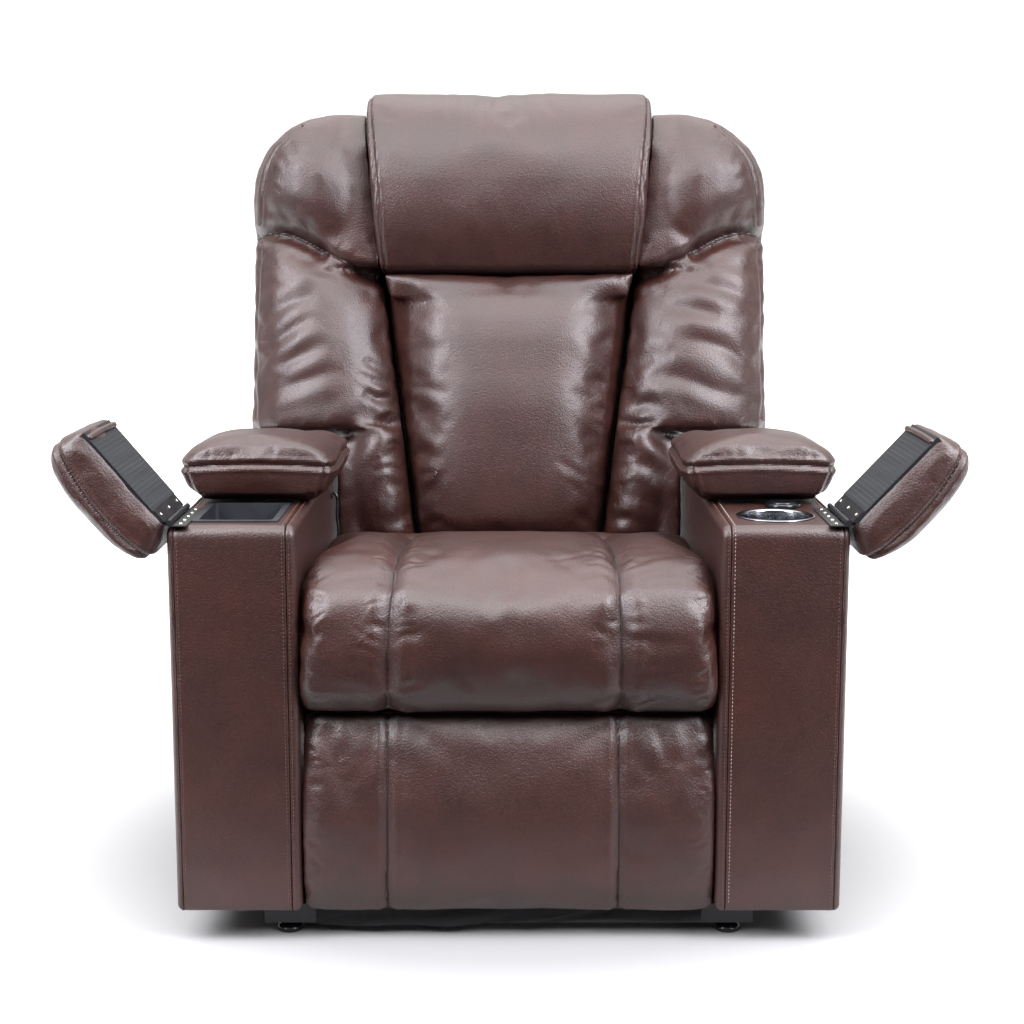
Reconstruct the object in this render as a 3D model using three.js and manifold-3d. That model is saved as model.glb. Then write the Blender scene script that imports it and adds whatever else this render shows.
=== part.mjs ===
// Power lift recliner chair, modelled as its separate pieces at real size.
// Millimetres, +Z up. The chair faces -Y, and +X is to the right of someone looking at its front.
// Inside the model y = 0 is the plane of the arm fronts and z = 0 is the floor.
import * as THREE from 'three';
import { mergeVertices } from 'three/addons/utils/BufferGeometryUtils.js';
import Module from 'manifold-3d';

const wasm = await Module();
wasm.setup();

// Driving dimensions, upholstery
const seatGap = 534;
const armWidth = 158;
const armDepth = 745;
const armBottom = 46;
const deckTop = 552;
const panelThickness = 15;
const panelEdgeRadius = 6;

const seatFront = -22;
const seatRear = 440;
const seatCrest = 517;
const seatRearTop = 474;
const seatChannelHalfWidth = 145;
const seatChannelDepth = 13;
const seatSidePuff = 9;
const seatSideGap = 5;

const footrestBottom = 48;
const footrestTop = 304;
const footrestFace = -4;
const footrestPadThickness = 44;
const footrestBoardThickness = 15;

const backLean = 13.5;
const backSeamHeight = 300;
const backSeamSetback = 442;
const backCushionDepth = 145;
const centreCrown = 20;
const sideCrown = 20;
const wingCrown = 26;
const backFrameThickness = 18;
const backCoverThickness = 16;
const narrowHalfWidth = 248;
const wideHalfWidth = 400;
const wideStart = 326;
const centreBottom = 150;
const centreTop = 562;
const centreBottomHalfWidth = 140;
const centreTopHalfWidth = 194;
const wingSeamOuter = 632;
const wingCornerStart = 690;
const wingTop = 818;
const wingTopHalfWidth = 290;
const pillowHalfWidthBottom = 197;
const pillowHalfWidthTop = 221;
const pillowTop = 856;
const pillowBulge = 46;

const padLength = 275;
const padFront = 160;
const padWidth = 219;
const padCentre = 337;
const padHeight = 85;
const padRearDrop = 24;
const padBaseThickness = 8;

const lidFront = -12;
const lidRear = 150;
const lidReach = 166;
const lidOverhang = 20;
const lidCrown = 62;
const lidBoardThickness = 10;
const lidOpenAngle = { left: 130, right: 133 };
const hingeInset = 1;
const hingeHeight = 5;
const barrelRadius = 3.8;
const leafThickness = 1.7;
const leafWidth = 22;

// Driving dimensions, arm fittings
const binCentre = 347;
const binFront = 36;
const binLength = 137;
const binWidth = 100;
const binDepth = 112;
const binWall = 3;
const binCorner = 10;
const binFlange = 5;
const flangeThickness = 2;
const cupCentre = 345;
const cupSetback = 81;
const cupFlangeRadius = 51;
const cupRadius = 43;
const cupBaseRadius = 37;
const cupDepth = 76;
const cupWall = 1.5;
const switchCentre = 365;
const switchSetback = 157;
const switchRadius = 23.5;
const switchHeight = 6;
const switchStemDepth = 8;
const switchWall = 3;
const switchFloor = 2;
const switchTravel = 1.5;
const buttonRadius = 17;
const buttonRise = 1.4;

// Driving dimensions, steelwork
const railWidth = 30;
const railHeight = 26;
const railWall = 2.5;
const railBottom = 14;
const baseHalfWidth = 322;
const baseFront = 45;
const baseDepth = 635;
const glideCentre = 290;
const glideRadius = 17;
const glideHeight = 9;
const skirtHalfWidth = 255;
const skirtThickness = 3;
const skirtBottom = 13;
const skirtHeight = 31;

const pinRadius = 6;
const layerGap = 0.5;
const plateThickness = 4;
const guideThickness = 4.5;
const liftArmThickness = 7;
const liftArmHeight = 30;
const guideHeight = 22;
const lugThickness = 6;
const lugRadius = 14;
const lugFoot = 40;
const linkThickness = 4;
const linkHeight = 24;
const bracketThickness = 4.5;

// Pivots in the side view, as [y, z]
const liftPivot = [120, 62];
const chassisPivot = [560, 104];
const guideBasePivot = [75.7, 62];
const guideTopPivot = [400, 100];
const reclinePivot = [640, 300];
const crankLength = 80;
const footLinkPivot = [95, 275];
const footLinkLength = 175;
const footLinkAngle = -75;
const footBoardPivot = [72, 230];
const liftMotorPivot = [636, 66];
const liftCrankPin = [185, 130];
const liftTubeCentre = [175, 67];
const reclineMotorPivot = [172, 240];
const liftStroke = 80;
const reclineStroke = -58;

const liftTubeRadius = 16;
const backTubeRadius = 12;
const tubeWall = 3;
const liftEyeClearance = 8;
const reclineEyeClearance = 6;
const guideEyeClearance = 2.4;

// Driving dimensions, actuators
const actuatorPinRadius = 5;
const eyeHalfWidth = 15;
const eyeRadius = 13;
const earInner = 17;
const earThickness = 5;
const earHeight = 15;
const cheekRadius = 12;
const gearboxStart = 26;
const gearboxEnd = 76;
const gearboxHalfWidth = 24;
const motorRadius = 25;
const motorLength = 96;
const motorOffset = 48;
const actuatorTubeRadius = 17;
const glandLength = 10;
const rodRadius = 10;
const rodShown = 26;
const rodGuided = 110;
const rodEyeRim = 5;

// Driving dimensions, seat frame and springs
const seatRailSection = { width: 28, height: 38 };
const seatRailTop = 308;
const seatFrontRailSetback = 112;
const seatRearRailSetback = 455;
const springCount = 5;
const springSpacing = 92;
const springWaves = 5;
const springHalfWidth = 20;
const springWireRadius = 1.8;
const tieWireRadius = 1.4;

// Driving dimensions, switch lead
const leadRadius = 2.4;
const grommetRadius = 7.5;
const grommetThickness = 3;
const grommetSetback = 458;
const grommetHeight = 524;

// Clearances, and how far a welded or moulded piece reaches into the one that it joins
const fitGap = 0.3;
const runningGap = 0.35;
const weld = 1;

// Sizes that follow from the ones above
const armInner = seatGap / 2;
const armOuter = armInner + armWidth;
const deckBottom = deckTop - panelThickness;
const plateOuter = armInner - fitGap;
const plateInner = plateOuter - plateThickness;
const guideOuter = plateInner - layerGap;
const guideInner = guideOuter - guideThickness;
const liftArmOuter = guideInner - layerGap;
const liftArmInner = liftArmOuter - liftArmThickness;
const lugOuter = liftArmInner - layerGap;
const lugInner = lugOuter - lugThickness;
const frontLinkOuter = guideInner - layerGap;
const frontLinkInner = frontLinkOuter - linkThickness;
const rearLinkOuter = frontLinkInner - layerGap;
const rearLinkInner = rearLinkOuter - linkThickness;
const footBracketOuter = rearLinkInner - layerGap;
const footBracketInner = footBracketOuter - bracketThickness;
const seatUnderside = seatRailTop + 2 * (fitGap + springWireRadius);
const backBracketInner = narrowHalfWidth + 3;
const backBracketOuter = backBracketInner + bracketThickness;
const cushionHalfWidth = armInner - seatSideGap;
const railTop = railBottom + railHeight;
const baseRear = baseFront + baseDepth;
const padBottom = deckTop + fitGap;
const hingeX = armOuter - hingeInset;
const hingeZ = deckTop + hingeHeight;
const backOuterFace = backCushionDepth + backFrameThickness + backCoverThickness + 2 * fitGap;
const elbowPivot = [
  footLinkPivot[0] + footLinkLength * Math.cos(THREE.MathUtils.degToRad(footLinkAngle)),
  footLinkPivot[1] + footLinkLength * Math.sin(THREE.MathUtils.degToRad(footLinkAngle)),
];
const reclineCrankPin = [reclinePivot[0], reclinePivot[1] - crankLength];

// Finishes
const finish = (color, roughness, metalness = 0) =>
  new THREE.MeshStandardMaterial({ color, roughness, metalness });
const leather = finish(0x4a2a22, 0.42);
const blackFabric = finish(0x17181a, 0.95);
const blackSteel = finish(0x15161a, 0.5, 0.6);
const zincSteel = finish(0x9aa0a6, 0.35, 0.9);
const stainless = finish(0xc9cbd0, 0.22, 1);
const blackPlastic = finish(0x1b1d22, 0.6);
const glossPlastic = finish(0x11141c, 0.18);
const birchPly = finish(0xc9a874, 0.7);
const blackRubber = finish(0x121212, 0.7);

const chair = new THREE.Group();

function addMesh(parent, name, geometry, material) {
  const mesh = new THREE.Mesh(geometry, material);
  mesh.name = name;
  parent.add(mesh);
  return mesh;
}

// A piece on one side of the chair: side is 1 for the right and -1 for the left.
const sides = { left: -1, right: 1 };

// Joining and cutting of closed meshes
function toSolid(geometry) {
  const bare = geometry.index ? geometry.toNonIndexed() : geometry.clone();
  bare.deleteAttribute('normal');
  bare.deleteAttribute('uv');
  const merged = mergeVertices(bare, 1e-4);
  return new wasm.Manifold(new wasm.Mesh({
    numProp: 3,
    vertProperties: Float32Array.from(merged.attributes.position.array),
    triVerts: Uint32Array.from(merged.index.array),
  }));
}

function toGeometry(solid) {
  const mesh = solid.getMesh();
  const geometry = new THREE.BufferGeometry();
  geometry.setAttribute('position', new THREE.BufferAttribute(mesh.vertProperties, 3));
  geometry.setIndex(new THREE.BufferAttribute(mesh.triVerts, 1));
  geometry.computeVertexNormals();
  return geometry;
}

function join(...geometries) {
  return toGeometry(geometries.map(toSolid).reduce((whole, piece) => whole.add(piece)));
}

function cut(geometry, ...tools) {
  return toGeometry(tools.map(toSolid).reduce((whole, tool) => whole.subtract(tool), toSolid(geometry)));
}

// Basic bodies, given by their limits in the chair's frame
function block(x0, x1, y0, y1, z0, z1) {
  const geometry = new THREE.BoxGeometry(x1 - x0, y1 - y0, z1 - z0);
  return geometry.translate((x0 + x1) / 2, (y0 + y1) / 2, (z0 + z1) / 2);
}

function sideRange(side, inner, outer) {
  return side > 0 ? [inner, outer] : [-outer, -inner];
}

function rodAlongX(radius, x0, x1, [y, z], segments = 12) {
  const geometry = new THREE.CylinderGeometry(radius, radius, x1 - x0, segments);
  return geometry.rotateZ(Math.PI / 2).translate((x0 + x1) / 2, y, z);
}

function rodAlongY(radius, y0, y1, x, z, segments = 12) {
  return new THREE.CylinderGeometry(radius, radius, y1 - y0, segments).translate(x, (y0 + y1) / 2, z);
}

function rodAlongZ(radius, z0, z1, x, y, segments = 24) {
  const geometry = new THREE.CylinderGeometry(radius, radius, z1 - z0, segments);
  return geometry.rotateX(Math.PI / 2).translate(x, y, (z0 + z1) / 2);
}

// A plate that stands in the side view: its outline is drawn in y and z, and it is thick along x.
function sidePlate(outline, x0, x1, curveSegments = 5) {
  const geometry = new THREE.ExtrudeGeometry(outline, { depth: x1 - x0, bevelEnabled: false, curveSegments });
  const axes = new THREE.Matrix4().makeBasis(
    new THREE.Vector3(0, 1, 0), new THREE.Vector3(0, 0, 1), new THREE.Vector3(1, 0, 0));
  return geometry.applyMatrix4(axes).translate(x0, 0, 0);
}

// A body whose outline is drawn in x and z, and which is thick along y.
function extrudeAlongY(outline, y0, y1, options = {}) {
  const bevel = options.bevelThickness ?? 0;
  const geometry = new THREE.ExtrudeGeometry(outline,
    { bevelEnabled: bevel > 0, curveSegments: 4, ...options, depth: y1 - y0 - 2 * bevel });
  return geometry.rotateX(Math.PI / 2).translate(0, y1 - bevel, 0);
}

// A body whose outline is drawn in x and y, and which is thick along z.
function extrudeAlongZ(outline, z0, z1, options = {}) {
  const bevel = options.bevelThickness ?? 0;
  const geometry = new THREE.ExtrudeGeometry(outline,
    { bevelEnabled: bevel > 0, curveSegments: 4, ...options, depth: z1 - z0 - 2 * bevel });
  return geometry.translate(0, 0, z0 + bevel);
}

const roundedEdge = (radius) => ({
  bevelThickness: radius, bevelSize: radius, bevelOffset: -radius, bevelSegments: 2,
});

function roundedRectangle(x0, x1, y0, y1, radius) {
  const shape = new THREE.Shape();
  shape.moveTo(x0 + radius, y0);
  shape.lineTo(x1 - radius, y0);
  shape.absarc(x1 - radius, y0 + radius, radius, -Math.PI / 2, 0);
  shape.lineTo(x1, y1 - radius);
  shape.absarc(x1 - radius, y1 - radius, radius, 0, Math.PI / 2);
  shape.lineTo(x0 + radius, y1);
  shape.absarc(x0 + radius, y1 - radius, radius, Math.PI / 2, Math.PI);
  shape.lineTo(x0, y0 + radius);
  shape.absarc(x0 + radius, y0 + radius, radius, Math.PI, 1.5 * Math.PI);
  return shape;
}

// A flat link with round ends about two pivots, with a hole at each pivot that has a hole radius.
function linkOutline(from, to, height, fromHole, toHole) {
  const radius = height / 2;
  const direction = Math.atan2(to[1] - from[1], to[0] - from[0]);
  const shape = new THREE.Shape();
  shape.absarc(to[0], to[1], radius, direction - Math.PI / 2, direction + Math.PI / 2);
  shape.absarc(from[0], from[1], radius, direction + Math.PI / 2, direction + 1.5 * Math.PI);
  shape.closePath();
  [[from, fromHole], [to, toHole]].forEach(([centre, hole]) => {
    if (hole > 0) shape.holes.push(new THREE.Path().absarc(centre[0], centre[1], hole, 0, 2 * Math.PI, true));
  });
  return shape;
}

// A closed body through a row of rings with the same number of points, capped at both ends.
function loft(rings) {
  const count = rings[0].length;
  const positions = rings.flat().flatMap((p) => [p.x, p.y, p.z]);
  const indices = [];
  rings.slice(1).forEach((_, row) => {
    for (let i = 0; i < count; i += 1) {
      const a = row * count + i;
      const b = row * count + ((i + 1) % count);
      indices.push(a, b, b + count, a, b + count, a + count);
    }
  });
  [0, rings.length - 1].forEach((row) => {
    const centre = new THREE.Vector3();
    rings[row].forEach((p) => centre.addScaledVector(p, 1 / count));
    const hub = positions.length / 3;
    positions.push(centre.x, centre.y, centre.z);
    for (let i = 0; i < count; i += 1) {
      const a = row * count + i;
      const b = row * count + ((i + 1) % count);
      indices.push(...(row === 0 ? [hub, b, a] : [hub, a, b]));
    }
  });
  const geometry = new THREE.BufferGeometry();
  geometry.setAttribute('position', new THREE.Float32BufferAttribute(positions, 3));
  geometry.setIndex(indices);
  if (enclosedVolume(geometry) < 0) geometry.setIndex(indices.reverse());
  geometry.computeVertexNormals();
  return geometry;
}

function enclosedVolume(geometry) {
  const at = (i) => new THREE.Vector3().fromBufferAttribute(geometry.attributes.position, i);
  let volume = 0;
  for (let i = 0; i < geometry.index.count; i += 3) {
    const [a, b, c] = [0, 1, 2].map((k) => at(geometry.index.getX(i + k)));
    volume += a.dot(b.cross(c)) / 6;
  }
  return volume;
}

// The section of a wire or a lead
function polygonSection(radius, sideCount) {
  const corners = Array.from({ length: sideCount }, (_, i) => {
    const angle = (2 * Math.PI * i) / sideCount;
    return new THREE.Vector2(radius * Math.cos(angle), radius * Math.sin(angle));
  });
  return new THREE.Shape(corners);
}

// Points at even steps round a smooth closed curve through the given corners, as [across, up] pairs.
function smoothRing(corners, count, tension = 0.5) {
  const curve = new THREE.CatmullRomCurve3(
    corners.map(([a, b]) => new THREE.Vector3(a, b, 0)), true, 'catmullrom', tension);
  return curve.getSpacedPoints(count).slice(0, count);
}

// The same, for a section that rests on the flat at height 0
function restingRing(corners, count) {
  return smoothRing(corners, count).map((p) => p.setY(Math.max(0, p.y)));
}

const smoothStep = (low, high, value) => THREE.MathUtils.smoothstep(value, low, high);
const lerp = THREE.MathUtils.lerp;

// Floor frame: two crossbars, two side rails with the pivot lugs, four glides and the front skirt
function squareTube(x0, x1, y0, y1, z0, z1, alongX) {
  const outer = block(x0, x1, y0, y1, z0, z1);
  const reach = 1;
  const bore = alongX
    ? block(x0 - reach, x1 + reach, y0 + railWall, y1 - railWall, z0 + railWall, z1 - railWall)
    : block(x0 + railWall, x1 - railWall, y0 - reach, y1 + reach, z0 + railWall, z1 - railWall);
  return cut(outer, bore);
}

// Two cheeks and the pin between them, which hold the rear eye of an actuator
function clevis(centre, feet) {
  const outline = new THREE.Shape();
  outline.absarc(centre[0], centre[1], cheekRadius, feet.startAngle, feet.endAngle);
  outline.lineTo(...feet.end);
  outline.lineTo(...feet.start);
  outline.closePath();
  return [...pairOfEars(outline), earPin(centre)];
}

const pairOfEars = (outline) => Object.values(sides).map(
  (side) => sidePlate(outline, ...sideRange(side, earInner, earInner + earThickness)));
const earPin = (centre) => rodAlongX(
  actuatorPinRadius, -earInner - earThickness, earInner + earThickness, centre);

function makeBase() {
  const base = new THREE.Group();
  addMesh(base, 'base_front_crossbar',
    squareTube(-baseHalfWidth, baseHalfWidth, baseFront, baseFront + railWidth, railBottom, railTop, true),
    blackSteel);

  const rearTube = squareTube(
    -baseHalfWidth, baseHalfWidth, baseRear - railWidth, baseRear, railBottom, railTop, true);
  const motorClevis = clevis(liftMotorPivot, {
    startAngle: 0,
    endAngle: 1.25 * Math.PI,
    end: [baseRear - railWidth - weld, railBottom + railWall],
    start: [baseRear - railWall, railTop - weld],
  });
  addMesh(base, 'base_rear_crossbar', join(rearTube, ...motorClevis), blackSteel);

  Object.entries(sides).forEach(([name, side]) => {
    const [x0, x1] = sideRange(side, lugInner + weld - railWidth, lugInner + weld);
    const railFront = baseFront + railWidth + fitGap;
    const rail = squareTube(x0, x1, railFront, baseRear - railWidth - fitGap, railBottom, railTop, false);
    const lugBase = railBottom + railWall;
    const outline = new THREE.Shape();
    outline.moveTo(liftPivot[0] + lugFoot, lugBase);
    outline.lineTo(liftPivot[0] + lugFoot, railTop);
    outline.absarc(liftPivot[0], liftPivot[1], lugRadius, 0, Math.PI / 2);
    outline.absarc(guideBasePivot[0], guideBasePivot[1], lugRadius, Math.PI / 2, Math.PI);
    outline.lineTo(railFront + 2 * weld, railTop + 4 * weld);
    outline.lineTo(railFront + 2 * weld, lugBase);
    outline.closePath();
    const [lug0, lug1] = sideRange(side, lugInner, lugOuter);
    const [arm0, arm1] = sideRange(side, lugInner, liftArmOuter);
    const [guide0, guide1] = sideRange(side, lugInner, guideOuter);
    addMesh(base, `base_side_rail_${name}`, join(
      rail,
      sidePlate(outline, lug0, lug1),
      rodAlongX(pinRadius, arm0, arm1, liftPivot),
      rodAlongX(pinRadius, guide0, guide1, guideBasePivot)), blackSteel);

    [['front', baseFront + railWidth / 2], ['rear', baseRear - railWidth / 2]].forEach(([end, y]) => {
      const rim = 2.5;
      const stem = 5;
      const profile = [
        [0, 0], [glideRadius - rim, 0], [glideRadius, rim], [glideRadius, glideHeight - rim],
        [glideRadius - rim, glideHeight], [stem, glideHeight], [stem, railBottom - fitGap],
        [0, railBottom - fitGap],
      ].map(([r, z]) => new THREE.Vector2(r, z));
      const glide = new THREE.LatheGeometry(profile, 12).rotateX(Math.PI / 2);
      addMesh(base, `glide_foot_${end}_${name}`, glide.translate(side * glideCentre, y, 0), blackRubber);
    });
  });

  const skirtRear = baseFront - fitGap;
  addMesh(base, 'base_front_skirt', block(-skirtHalfWidth, skirtHalfWidth,
    skirtRear - skirtThickness, skirtRear, skirtBottom, skirtBottom + skirtHeight), blackFabric);
  return base;
}

// Lift arms, torque tube and guide links, which swing the whole chair up and forward
function makeLiftArms() {
  const group = new THREE.Group();
  Object.entries(sides).forEach(([name, side]) => {
    const hole = pinRadius + runningGap;
    const outline = linkOutline(liftPivot, chassisPivot, liftArmHeight, hole, hole);
    addMesh(group, `lift_arm_${name}`,
      sidePlate(outline, ...sideRange(side, liftArmInner, liftArmOuter)), blackSteel);
  });
  const reach = liftArmInner - fitGap;
  const tube = crossTube(liftTubeRadius, reach, liftTubeCentre);
  addMesh(group, 'lift_torque_tube', join(tube, ...crankEars(liftTubeCentre, liftCrankPin, liftTubeRadius)),
    blackSteel);
  return group;
}

function crossTube(radius, reach, centre) {
  return cut(rodAlongX(radius, -reach, reach, centre, 16),
    rodAlongX(radius - tubeWall, -reach - weld, reach + weld, centre, 12));
}

// Two ears that stand off a cross tube and hold the pin that an actuator's rod end pushes
function crankEars(tubeCentre, pin, radius) {
  const away = Math.hypot(pin[0] - tubeCentre[0], pin[1] - tubeCentre[1]);
  const root = (radius - tubeWall / 2) / away;
  const foot = [lerp(tubeCentre[0], pin[0], root), lerp(tubeCentre[1], pin[1], root)];
  return [...pairOfEars(linkOutline(foot, pin, earHeight, 0, 0)), earPin(pin)];
}

function makeGuideLinks() {
  const group = new THREE.Group();
  Object.entries(sides).forEach(([name, side]) => {
    const outline = linkOutline(
      guideBasePivot, guideTopPivot, guideHeight, pinRadius + runningGap, pinRadius + guideEyeClearance);
    addMesh(group, `guide_link_${name}`,
      sidePlate(outline, ...sideRange(side, guideInner, guideOuter)), blackSteel);
  });
  return group;
}

// Linear actuators: a gear motor and its outer tube, and the rod that runs out of it.
// They are drawn along +Y from the rear eye, and motorSide says on which side of the tube the motor lies.
function actuatorHousing({ tubeEnd, boreStart, motorSide }) {
  const wall = 4;
  const gland = 2.5;
  const capLength = 8;
  const eye = rodAlongX(eyeRadius, -eyeHalfWidth, eyeHalfWidth, [0, 0], 20);
  const neckHalfHeight = eyeRadius - wall;
  const neck = block(-eyeHalfWidth, eyeHalfWidth,
    actuatorPinRadius, gearboxStart + weld, -neckHalfHeight, neckHalfHeight);
  const gearbox = extrudeAlongY(roundedRectangle(-gearboxHalfWidth, gearboxHalfWidth,
    -actuatorTubeRadius - wall, motorOffset + motorRadius + wall / 2, 2 * wall), gearboxStart, gearboxEnd);
  const tube = rodAlongY(actuatorTubeRadius, gearboxEnd - weld, tubeEnd, 0, 0, 20);
  const glandRing = rodAlongY(actuatorTubeRadius + gland, tubeEnd - glandLength, tubeEnd, 0, 0, 20);
  const motorEnd = gearboxEnd + motorLength;
  const motor = rodAlongY(motorRadius, gearboxEnd - weld, motorEnd, 0, motorOffset, 20);
  const cap = rodAlongY(motorRadius / 3, motorEnd - weld, motorEnd + capLength, 0, motorOffset);
  const bore = rodAlongY(rodRadius + runningGap, boreStart, tubeEnd + weld, 0, 0, 16);
  const hole = rodAlongX(
    actuatorPinRadius + runningGap, -eyeHalfWidth - weld, eyeHalfWidth + weld, [0, 0], 16);
  const housing = cut(join(eye, neck, gearbox, tube, glandRing, motor, cap), bore, hole);
  return motorSide > 0 ? housing : housing.rotateY(Math.PI);
}

// The rod's eye has clearance all round its pin, because the loop of pivots is opened there.
function actuatorRod({ length, innerEnd, eyeClearance }) {
  const hole = actuatorPinRadius + eyeClearance;
  const eye = rodAlongX(hole + rodEyeRim, -eyeHalfWidth, eyeHalfWidth, [length, 0], 24);
  const rod = rodAlongY(rodRadius, innerEnd, length - hole - rodEyeRim / 2, 0, 0, 16);
  return cut(join(eye, rod), rodAlongX(hole, -eyeHalfWidth - weld, eyeHalfWidth + weld, [length, 0], 24));
}

function makeActuator({ name, from, to, stroke, motorSide, eyeClearance }) {
  const length = Math.hypot(to[0] - from[0], to[1] - from[1]);
  const group = new THREE.Group();
  group.position.set(0, from[0], from[1]);
  group.rotation.x = Math.atan2(to[1] - from[1], to[0] - from[0]);
  const tubeEnd = length - actuatorPinRadius - eyeClearance - rodShown - Math.max(0, -stroke);
  const innerEnd = tubeEnd - rodGuided;
  const endPlay = 4;
  const boreStart = innerEnd + Math.min(0, stroke) - endPlay;
  addMesh(group, `${name}_housing`, actuatorHousing({ tubeEnd, boreStart, motorSide }), blackPlastic);
  addMesh(group, `${name}_rod`, actuatorRod({ length, innerEnd, eyeClearance }), zincSteel);
  return group;
}

// Seat frame between the arms: side plates with the pivots, front and rear rails, and the springs
function makeSeatFrame() {
  const group = new THREE.Group();
  Object.entries(sides).forEach(([name, side]) => {
    const eye = 17;
    const foot = 16;
    const heel = 18;
    const hub = 22;
    const outline = new THREE.Shape();
    outline.absarc(...footLinkPivot, eye, Math.PI / 2, 1.5 * Math.PI);
    outline.lineTo(guideTopPivot[0] - 50, guideTopPivot[1] + 100);
    outline.absarc(...guideTopPivot, foot, Math.PI, 2 * Math.PI);
    outline.quadraticCurveTo(
      guideTopPivot[0] + 40, guideTopPivot[1] + 75, chassisPivot[0] - 80, chassisPivot[1] + 66);
    outline.absarc(...chassisPivot, heel, Math.PI, 2 * Math.PI);
    outline.lineTo(reclinePivot[0] + hub, reclinePivot[1]);
    outline.absarc(...reclinePivot, hub, 0, Math.PI / 2);
    outline.lineTo(reclinePivot[0] - 70, footLinkPivot[1] + eye);
    outline.closePath();
    const pin = (centre, inner) =>
      rodAlongX(pinRadius, ...sideRange(side, inner, plateInner + weld), centre);
    addMesh(group, `mechanism_side_plate_${name}`, join(
      sidePlate(outline, ...sideRange(side, plateInner, plateOuter)),
      pin(footLinkPivot, frontLinkInner),
      pin(guideTopPivot, guideInner),
      pin(chassisPivot, liftArmInner),
      pin(reclinePivot, backBracketInner)), blackSteel);
  });

  const railHalf = plateInner - fitGap;
  const seatRail = (front) => block(-railHalf, railHalf,
    front, front + seatRailSection.width, seatRailTop - seatRailSection.height, seatRailTop);
  const cheekTop = seatRailTop - cheekRadius;
  const motorClevis = clevis(reclineMotorPivot, {
    startAngle: -0.9 * Math.PI,
    endAngle: 0,
    end: [reclineMotorPivot[0] + cheekRadius / 2, cheekTop],
    start: [seatFrontRailSetback + seatRailSection.width - weld, cheekTop],
  });
  addMesh(group, 'seat_front_rail', join(seatRail(seatFrontRailSetback), ...motorClevis), blackSteel);
  addMesh(group, 'seat_rear_rail', seatRail(seatRearRailSetback), birchPly);
  addMesh(group, 'seat_springs', seatSprings(), zincSteel);
  return group;
}

// Sinuous wire springs that run from rail to rail, held to each other by two tie wires
function seatSprings() {
  const height = seatRailTop + fitGap + springWireRadius;
  const start = seatFrontRailSetback + seatRailSection.width / 2;
  const end = seatRearRailSetback + seatRailSection.width / 2;
  const stepsPerWave = 6;
  const section = polygonSection(springWireRadius, 4);
  const wires = [];
  for (let i = 0; i < springCount; i += 1) {
    const x = (i - (springCount - 1) / 2) * springSpacing;
    const points = [];
    const steps = springWaves * stepsPerWave;
    for (let k = 0; k <= steps; k += 1) {
      const along = k / steps;
      const swing = Math.sin(2 * Math.PI * springWaves * along);
      points.push(new THREE.Vector3(x + springHalfWidth * swing, lerp(start, end, along), height));
    }
    const path = new THREE.CatmullRomCurve3(points);
    wires.push(new THREE.ExtrudeGeometry(section,
      { steps, extrudePath: path, bevelEnabled: false }));
  }
  const reach = (springCount - 1) / 2 * springSpacing + springHalfWidth / 2;
  const ties = [1 / 3, 2 / 3].map((share) => rodAlongX(
    tieWireRadius, -reach, reach, [lerp(start, end, share), height], 6));
  return join(...wires, ...ties);
}

// Seat cushion: a rolled front, three channels and drawn-in ends, swept from side to side
function makeSeatCushion() {
  const corners = [
    [seatRear, seatUnderside], [seatRear + 3, seatUnderside + 70], [seatRear - 4, seatRearTop],
    [seatRear - 110, seatRearTop + 20], [seatRear - 220, seatCrest - 8], [115, seatCrest],
    [42, seatCrest - 8], [2, seatCrest - 32], [-16, seatCrest - 78], [seatFront, seatCrest - 124],
    [-17, seatCrest - 172], [-7, seatUnderside + 2], [40, seatUnderside], [240, seatUnderside],
  ];
  const outline = smoothRing(corners, 26);
  const middle = new THREE.Vector2(200, 400);
  const channelReach = 34;
  const endRounding = 16;
  return loft(seatStations().map((x) => {
    const toEnd = cushionHalfWidth - Math.abs(x);
    const shrink = 0.9 + 0.1 * Math.sqrt(Math.min(1, toEnd / endRounding));
    const fromSeam = Math.abs(Math.abs(x) - seatChannelHalfWidth);
    const dip = seatChannelDepth * Math.max(0, 1 - fromSeam / channelReach) ** 1.7;
    const sideLift = Math.abs(x) > seatChannelHalfWidth ? seatSidePuff : 0;
    return outline.map((p) => {
      const out = new THREE.Vector2(p.x - middle.x, p.y - middle.y);
      const aboveRails = smoothStep(seatUnderside + 6, seatUnderside + 60, p.y);
      const soft = aboveRails * smoothStep(seatRear, seatRear - 60, p.x);
      const scale = shrink + (sideLift - dip) * soft / out.length();
      return new THREE.Vector3(x, Math.min(seatRear + 1, middle.x + out.x * scale),
        Math.max(seatUnderside, middle.y + out.y * scale));
    });
  }));
}

function seatStations() {
  const half = [0, 45, 90, 118, 134, seatChannelHalfWidth, 156, 172, 205, 234, 248, 258, cushionHalfWidth];
  return [...half.slice(1).map((x) => -x).reverse(), ...half];
}

// Arms: each is an upholstered box of outer, inner and front panels with a deck on top
const panelTop = deckBottom - fitGap;
const binOuterX = [-binCentre - binWidth / 2, -binCentre + binWidth / 2];

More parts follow.
